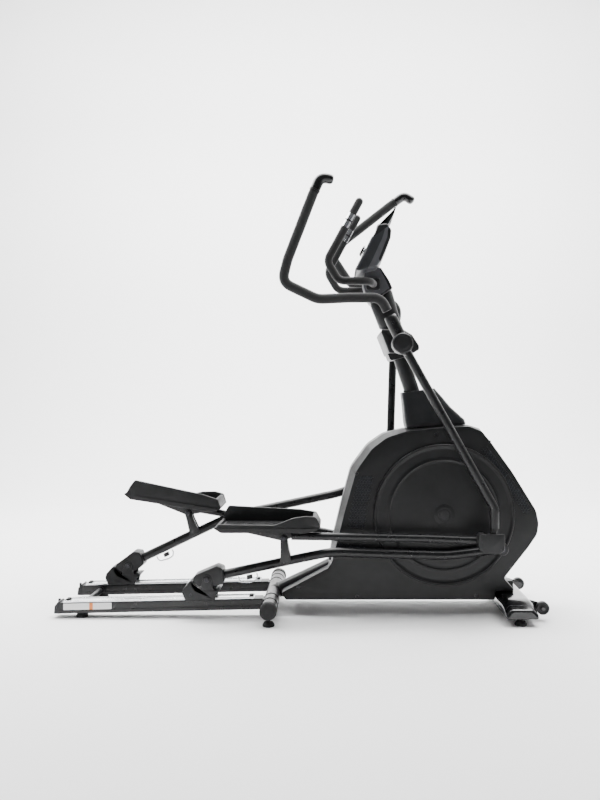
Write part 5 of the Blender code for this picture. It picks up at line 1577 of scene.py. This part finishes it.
# ---- carriages ---------------------------------------------------------------------
def build_carriage(side_parts):
    """The roller housing on the rail: a skirted moulding with two ears for the arm's bolt."""
    name, side = side_parts["name"], side_parts["side"]
    body = f"{name}_carriage"
    x, z = side_parts["carriage"]
    place = placed((x, z), turn=math.atan(RAIL_SLOPE))

    def stand(mesh):
        mesh = for_side(mesh, side)
        mesh.transform(place)
        return mesh

    drop = 0.0811
    low, top = 0.0010 - drop, -0.0370
    outline = [(-0.085, low), (0.029, low), (0.034, -0.058), (0.050, -0.041), (0.050, top)]
    outline += arc((0.0, 0.0), 0.0565, 221, 186, 8)
    outline += [(-0.0640, -0.0020), (-0.0930, -0.0330), (-0.0975, -0.0500)]
    radii = [0.006, 0.006, 0.010, 0.008, 0.006] + [0.0] * 9 + [0.006, 0.014, 0.012]
    inner, outer = RAIL_Y - 0.037, RAIL_Y + 0.047
    housing = cushioned(rounded_outline(outline, radii, 5), inner, outer, 0.0055, 4)
    channel = block((-0.2, 0.2), (RAIL_Y - 0.0305, RAIL_Y + 0.0305), (low - 0.02, low + 0.0405))
    housing = cut_from(housing, channel)
    ear = [(0.026, top - 0.004)] + arc((0.0, 0.0), 0.017, 0, 180, 24) + [(-0.026, top - 0.004)]
    ears = [softened(prism(ear, low_y, high_y), 0.0010, 2)
            for low_y, high_y in ((inner, inner + 0.0042), (outer - 0.0042, outer))]
    piece(f"carriage_housing_{name}", stand(gathered(housing, *ears)),
          finishes["cover_moulding"], body, [f"carriage_{name}"], smooth=32)

    bolt = [turned([(0.0010, inner + 0.001), (0.0070, inner + 0.001), (0.0070, outer - 0.001),
                    (0.0010, outer - 0.001)], sides=32)]
    for face, y in ((-1, inner), (1, outer)):
        bolt.append(turned(rounded_profile(
            [(0.0010, y + face * 0.0034), (0.0085, y + face * 0.0032), (0.0098, y + face * 0.0004),
             (0.0010, y + face * 0.0004)], 0.0010, 3), sides=40))
    axle_z = 0.003 + 0.0175 + 0.0004 - drop
    middles = (-0.061, 0.007)
    for middle in middles:
        bolt.append(turned([(0.0010, RAIL_Y - 0.034), (0.0040, RAIL_Y - 0.034),
                            (0.0040, RAIL_Y + 0.034), (0.0010, RAIL_Y + 0.034)],
                           (middle, 0, axle_z), sides=24))
    piece(f"carriage_bolts_{name}", stand(gathered(*bolt)), finishes["dark_screw"],
          body)
    tree, sockets = screw_tree(finishes["dark_screw"])
    spots = [(middle, outer - 0.0008, axle_z + 0.002) for middle in (middles[0] - 0.004, 0.010)]
    sizes = {"Head radius": 0.0062, "Head height": 0.0030}
    heads = grown(tree, sockets, sizes, seed_points(spots, [(0, 1, 0)] * len(spots)),
                  finishes["dark_screw"])
    piece(f"carriage_screws_{name}", stand(heads), finishes["dark_screw"], body)

    for where, middle in zip(("rear", "front"), middles):
        profile = rounded_profile([(0.0044, -0.0200), (0.0100, -0.0200), (0.0112, -0.0185),
                                   (0.0140, -0.0185), (0.0150, -0.0200), (0.0175, -0.0185),
                                   (0.0175, 0.0185), (0.0150, 0.0200), (0.0140, 0.0185),
                                   (0.0112, 0.0185), (0.0100, 0.0200), (0.0044, 0.0200)],
                                  0.0006, 2)
        wheel = turned(profile, (middle, RAIL_Y, axle_z), sides=56, closed=True)
        piece(f"guide_roller_{where}_{name}", stand(wheel), finishes["wheel_moulding"],
              f"{where}_{name}_roller", [f"roller_{where}_{name}"])


# ---- console -----------------------------------------------------------------------
CONSOLE_HEAD = [(0.214, 1.352), (0.292, 1.505), (0.306, 1.536), (0.340, 1.540), (0.357, 1.515),
                (0.354, 1.484), (0.318, 1.397), (0.300, 1.372)]
CONSOLE_NECK = [(0.262, 1.385), (0.322, 1.385), (0.354, 1.335), (0.3700, 1.3008),
                (0.2790, 1.2371), (0.264, 1.262), (0.248, 1.318)]
HEAD_HALF = 0.150
KNOB_ALONG = 0.026
# The slate bezel, the black trim down the back and the black crown: side outlines.
CONSOLE_BEZEL = [(0.15, 1.30), (0.2500, 1.30), (0.2585, 1.3548), (0.2800, 1.3942),
                 (0.3194, 1.4798), (0.3300, 1.5120), (0.3300, 1.60), (0.15, 1.60)]
CONSOLE_TRIM = [(0.3500, 1.5450), (0.3435, 1.5150), (0.3405, 1.4860), (0.3070, 1.4010),
                (0.3420, 1.3320), (0.3560, 1.3010), (0.2980, 1.2600), (0.2700, 1.2280),
                (0.3900, 1.2280), (0.3900, 1.5450)]
CONSOLE_CROWN = [(0.2700, 1.4800), (0.2999, 1.4962), (0.3491, 1.5325), (0.3700, 1.5500),
                 (0.3700, 1.60), (0.2700, 1.60)]


def console_place(along, across=0.0):
    """A frame on the console's face: local X runs up the face, local Z out of it."""
    low, high = Vector(CONSOLE_HEAD[0]), Vector(CONSOLE_HEAD[1])
    up = (high - low).normalized()
    middle = (low + high) / 2 + up * along
    rotation = Matrix(((up.x, 0, -up.y), (0, 1, 0), (up.y, 0, up.x))).to_4x4()
    return Matrix.Translation((middle.x, across, middle.y)) @ rotation


def fixed_bar_path(steps=10):
    near = [(0.290, 0.060, 1.316), (0.270, FIXED_BAR_Y, 1.316), (0.150, FIXED_BAR_Y, 1.316),
            (0.104, FIXED_BAR_Y, 1.394), (0.238, FIXED_BAR_Y, 1.640)]
    return filleted([(x, -y, z) for x, y, z in near[::-1]] + near, 0.045, steps)


def build_console():
    radii = [0.010, 0.02, 0.014, 0.014, 0.014, 0.03, 0.016, 0.012]
    head = cushioned(rounded_outline(CONSOLE_HEAD, radii, 5), -HEAD_HALF, HEAD_HALF, 0.0060, 4)
    neck_radii = [0.008, 0.008, 0.020, 0.008, 0.008, 0.010, 0.020]
    neck = cushioned(rounded_outline(CONSOLE_NECK, neck_radii, 5), -0.048, 0.048, 0.0050, 4)
    room = tube(fixed_bar_path(3), 0.0172, 32)
    knob_hole = turned([(0.0068, 0.02), (0.0068, -0.03)], axis="Z", sides=32)
    knob_hole.transform(console_place(KNOB_ALONG))
    head = cut_from(head, room, knob_hole)
    neck = cut_from(neck, room)
    crown, head = sliced(head, CONSOLE_CROWN)
    bezel, head = sliced(head, CONSOLE_BEZEL)
    trim, head = sliced(head, CONSOLE_TRIM)
    neck_trim, neck = sliced(neck, CONSOLE_TRIM)
    piece("console_body", gathered(head, neck), finishes["console_shell"],
          "frame", ["console_shell"], smooth=32)
    piece("console_bezel", bezel, finishes["console_slate"], "frame",
          smooth=32)
    piece("console_trim", gathered(trim, neck_trim, crown), finishes["trim_black"],
          "frame", smooth=32)

    face = softened(block((-0.076, 0.072), (-0.128, 0.128), (0.0003, 0.0040)), 0.0015, 3)
    face.transform(console_place(0.0))
    hole = turned([(0.0262, -0.01), (0.0262, 0.02)], axis="Z", sides=48)
    hole.transform(console_place(KNOB_ALONG))
    glass = softened(block((-0.030, 0.066), (-0.112, 0.112), (0.0030, 0.0050)), 0.0010, 2)
    glass.transform(console_place(0.0))
    face = cut_from(face, hole)
    glass = cut_from(glass, hole)
    piece("console_panel", face, finishes["console_slate"], "frame",
          ["console_face"])
    piece("console_display", glass, finishes["gloss_cover"], "frame")
    keys = []
    for column in (-0.100, -0.078, -0.056, 0.056, 0.078, 0.100):
        for along in (-0.042, -0.062):
            key = softened(block((along - 0.0075, along + 0.0075),
                                 (column - 0.0085, column + 0.0085), (0.0035, 0.0056)), 0.0010, 3)
            key.transform(console_place(0.0))
            keys.append(key)
    piece("console_keys", gathered(*keys), finishes["rubber"], "frame")

    knob_place = console_place(KNOB_ALONG)
    cap = turned(rounded_profile([(0.0010, 0.0240), (0.0185, 0.0238), (0.0215, 0.0220),
                                  (0.0230, 0.0180), (0.0230, 0.0110), (0.0010, 0.0110)],
                                 0.0014, 3), axis="Z", sides=72)
    stem = turned([(0.0010, -0.018), (0.0060, -0.018), (0.0060, 0.0065), (0.0010, 0.0065)],
                  axis="Z", sides=24)
    knob = gathered(cap, stem)
    knob.transform(knob_place)
    piece("resistance_knob", knob, finishes["gloss_cover"], "knob",
          ["console_knob"])
    ring = turned(rounded_profile([(0.0010, 0.0064), (0.0256, 0.0064), (0.0260, 0.0090),
                                   (0.0254, 0.0130), (0.0236, 0.0142), (0.0228, 0.0120),
                                   (0.0010, 0.0112)], 0.0008, 3), axis="Z", sides=72)
    ring.transform(knob_place)
    piece("knob_ring", ring, finishes["chrome_ring"], "knob")
    tree, sockets = bar_tree("knob_grip", finishes["gloss_cover"], False)
    points, normals = [], []
    count = 36
    for index in range(count):
        angle = 2 * math.pi * index / count
        out = Vector((math.cos(angle), math.sin(angle), 0))
        points.append(knob_place @ (out * 0.0231 + Vector((0, 0, 0.0165))))
        normals.append(knob_place.to_3x3() @ out)
    sizes = {"Bar length": 0.0012, "Bar width": 0.0012, "Bar height": 0.0010}
    ridges = grown(tree, sockets, sizes, seed_points(points, normals), finishes["gloss_cover"])
    piece("knob_ridges", ridges, finishes["gloss_cover"], "knob")


def build_device_rack():
    outline = [(0.300, 1.5365), (0.318, 1.5415), (0.345, 1.5435), (0.372, 1.592), (0.380, 1.617),
               (0.374, 1.617), (0.361, 1.592), (0.335, 1.552), (0.306, 1.548)]
    radii = [0.002, 0.004, 0.008, 0.03, 0.003, 0.003, 0.03, 0.008, 0.003]
    rack = cushioned(rounded_outline(outline, radii, 5), -0.095, 0.095, 0.0016, 3)
    slots = []
    for y in (-0.060, -0.030, 0.0, 0.030, 0.060):
        slots.append(block((0.33, 0.40), (y - 0.009, y + 0.009), (1.5660, 1.5980)))
    rack = cut_from(rack, *slots)
    piece("tablet_rack", rack, finishes["trim_black"], "frame",
          ["device_rack"], smooth=32)


def build_fixed_handlebar():
    path = fixed_bar_path()
    bar = domed(path, 0.0155, 40)
    piece("fixed_handlebar_foam", bar, finishes["foam"], "frame", ["fixed_handlebar"])
    lower, upper = Vector((0.104, 0, 1.394)), Vector((0.238, 0, 1.640))
    up = (upper - lower).normalized()
    out = Vector((-up.z, 0, up.x))
    plates, slots = [], []
    for side in (-1, 1):
        for face in (-1, 1):
            for start, end in ((0.150, 0.176), (0.182, 0.208)):
                spine = [lower + up * (start + (end - start) * t / 6) for t in range(7)]
                rings = []
                for point in spine:
                    centre = Vector((point.x, side * FIXED_BAR_Y, point.z))
                    ring = []
                    for step in range(13):
                        angle = math.radians(-62 + 124 * step / 12)
                        direction = (Vector((0, side * face, 0)) * math.cos(angle)
                                     + out * math.sin(angle))
                        ring.append(centre + direction * 0.0163)
                    for step in range(13):
                        angle = math.radians(62 - 124 * step / 12)
                        direction = (Vector((0, side * face, 0)) * math.cos(angle)
                                     + out * math.sin(angle))
                        ring.append(centre + direction * 0.0151)
                    rings.append(ring)
                plates.append(loft(rings))
        centre = lower + up * 0.179
        slots.append(tube([Vector((centre.x, side * FIXED_BAR_Y, centre.z)) - up * 0.0030,
                           Vector((centre.x, side * FIXED_BAR_Y, centre.z)) + up * 0.0030],
                          0.0160, 40))
    piece("pulse_plates", gathered(*plates), finishes["chrome_ring"], "frame")
    piece("pulse_plate_gaps", gathered(*slots), finishes["trim_black"], "frame")
    clamp_outline = rounded_outline([(0.262, 1.292), (0.318, 1.292), (0.318, 1.340),
                                     (0.262, 1.340)], 0.010, 5)
    clamp = cushioned(clamp_outline, -0.060, 0.060, 0.004, 3)
    clamp = cut_from(clamp, tube(path, 0.0158, 32))
    piece("handlebar_clamp", clamp, finishes["trim_black"], "frame")


# ---- floor, lights and camera --------------------------------------------------------
def plain_material(name, colour, roughness):
    material, tree, shader = shader_of(name, roughness, specular=0.2)
    point = object_point(tree)
    shade = noise(tree, point, 0.8, 2.0)
    light = tuple(min(channel * 1.02, 1.0) for channel in colour)
    tree.links.new(blended(tree, shade, colour, light), shader.inputs["Base Color"])
    return material


def build_studio():
    reach, back, height, bend = 9.0, 4.2, 6.0, 1.6
    profile = [(-9.0, 0.0), (back - bend, 0.0)]
    for step in range(1, 13):
        angle = math.pi / 2 * step / 12
        profile.append((back - bend + bend * math.sin(angle), bend * (1 - math.cos(angle))))
    profile.append((back, height))
    vertices = [(x, y, z) for y, z in profile for x in (-reach, reach)]
    faces = [(2 * i, 2 * i + 1, 2 * i + 3, 2 * i + 2) for i in range(len(profile) - 1)]
    mesh = bpy.data.meshes.new("studio_floor")
    mesh.from_pydata(vertices, [], faces)
    mesh.materials.append(plain_material("studio_white", (0.93, 0.93, 0.93), 0.90))
    mesh.shade_smooth()
    floor = bpy.data.objects.new("studio_floor", mesh)
    bpy.context.scene.collection.objects.link(floor)


def area_light(name, place, target, size, power):
    light = bpy.data.lights.new(name, "AREA")
    light.shape = "RECTANGLE"
    light.size, light.size_y = size
    light.energy = power
    lamp = bpy.data.objects.new(name, light)
    lamp.location = place
    lamp.rotation_euler = (Vector(target) - Vector(place)).to_track_quat("-Z", "Y").to_euler()
    bpy.context.scene.collection.objects.link(lamp)
    return lamp


def light_scene():
    world = bpy.data.worlds.new("studio_air")
    world.use_nodes = True
    background = world.node_tree.nodes["Background"]
    background.inputs["Color"].default_value = (0.97, 0.98, 1.0, 1.0)
    background.inputs["Strength"].default_value = 0.16
    bpy.context.scene.world = world
    area_light("overhead_softbox", (0.0, 0.6, 3.8), (0.0, 0.3, 0.0), (6.0, 3.6), 520)
    area_light("sweep_light", (0.0, 1.3, 4.4), (0.0, 4.2, 1.6), (7.0, 1.6), 800)
    area_light("rear_softbox", (-3.2, 0.4, 2.4), (0.1, 0.0, 0.7), (1.2, 2.2), 34)
    area_light("front_softbox", (3.2, 0.2, 2.0), (0.3, 0.0, 0.6), (1.0, 2.0), 22)


# The level side view: where it stands, its lens and frame in mm, and its shift.
VIEW_PLACE = (0.128, -3.078, 0.8645)
VIEW_LENS = 33.7275
VIEW_FRAME = (27.0, 36.0)
VIEW_SHIFT = (-0.04125, -0.005)


def set_camera():
    camera = bpy.data.cameras.new("side_view")
    camera.sensor_fit = "VERTICAL"
    camera.sensor_width, camera.sensor_height = VIEW_FRAME
    camera.lens = VIEW_LENS
    camera.shift_x, camera.shift_y = VIEW_SHIFT
    viewer = bpy.data.objects.new("side_view", camera)
    viewer.location = VIEW_PLACE
    viewer.rotation_euler = (math.radians(90), 0, 0)
    bpy.context.scene.collection.objects.link(viewer)
    bpy.context.scene.camera = viewer


# ---- the whole machine -------------------------------------------------------------
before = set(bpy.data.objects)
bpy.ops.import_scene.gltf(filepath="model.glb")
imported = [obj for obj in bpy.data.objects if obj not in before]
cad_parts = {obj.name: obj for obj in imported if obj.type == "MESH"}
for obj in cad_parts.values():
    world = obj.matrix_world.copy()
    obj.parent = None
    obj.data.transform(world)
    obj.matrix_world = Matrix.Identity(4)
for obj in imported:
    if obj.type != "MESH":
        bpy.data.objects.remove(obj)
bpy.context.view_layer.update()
finishes = make_finishes()

build_base_frame()
build_front_stabilizer()
build_transport_wheels()
build_feet()
build_rails()
build_rail_label()
build_rear_tie()
build_case()
build_crank_covers()
build_crank_hubs()
build_drive()
build_mast()
build_mast_collar()
for side_parts in SIDES:
    build_swing(side_parts)
    build_pedal_arm(side_parts)
    build_link(side_parts)
    build_carriage(side_parts)
build_console()
build_device_rack()
build_fixed_handlebar()
build_studio()
light_scene()
set_camera()
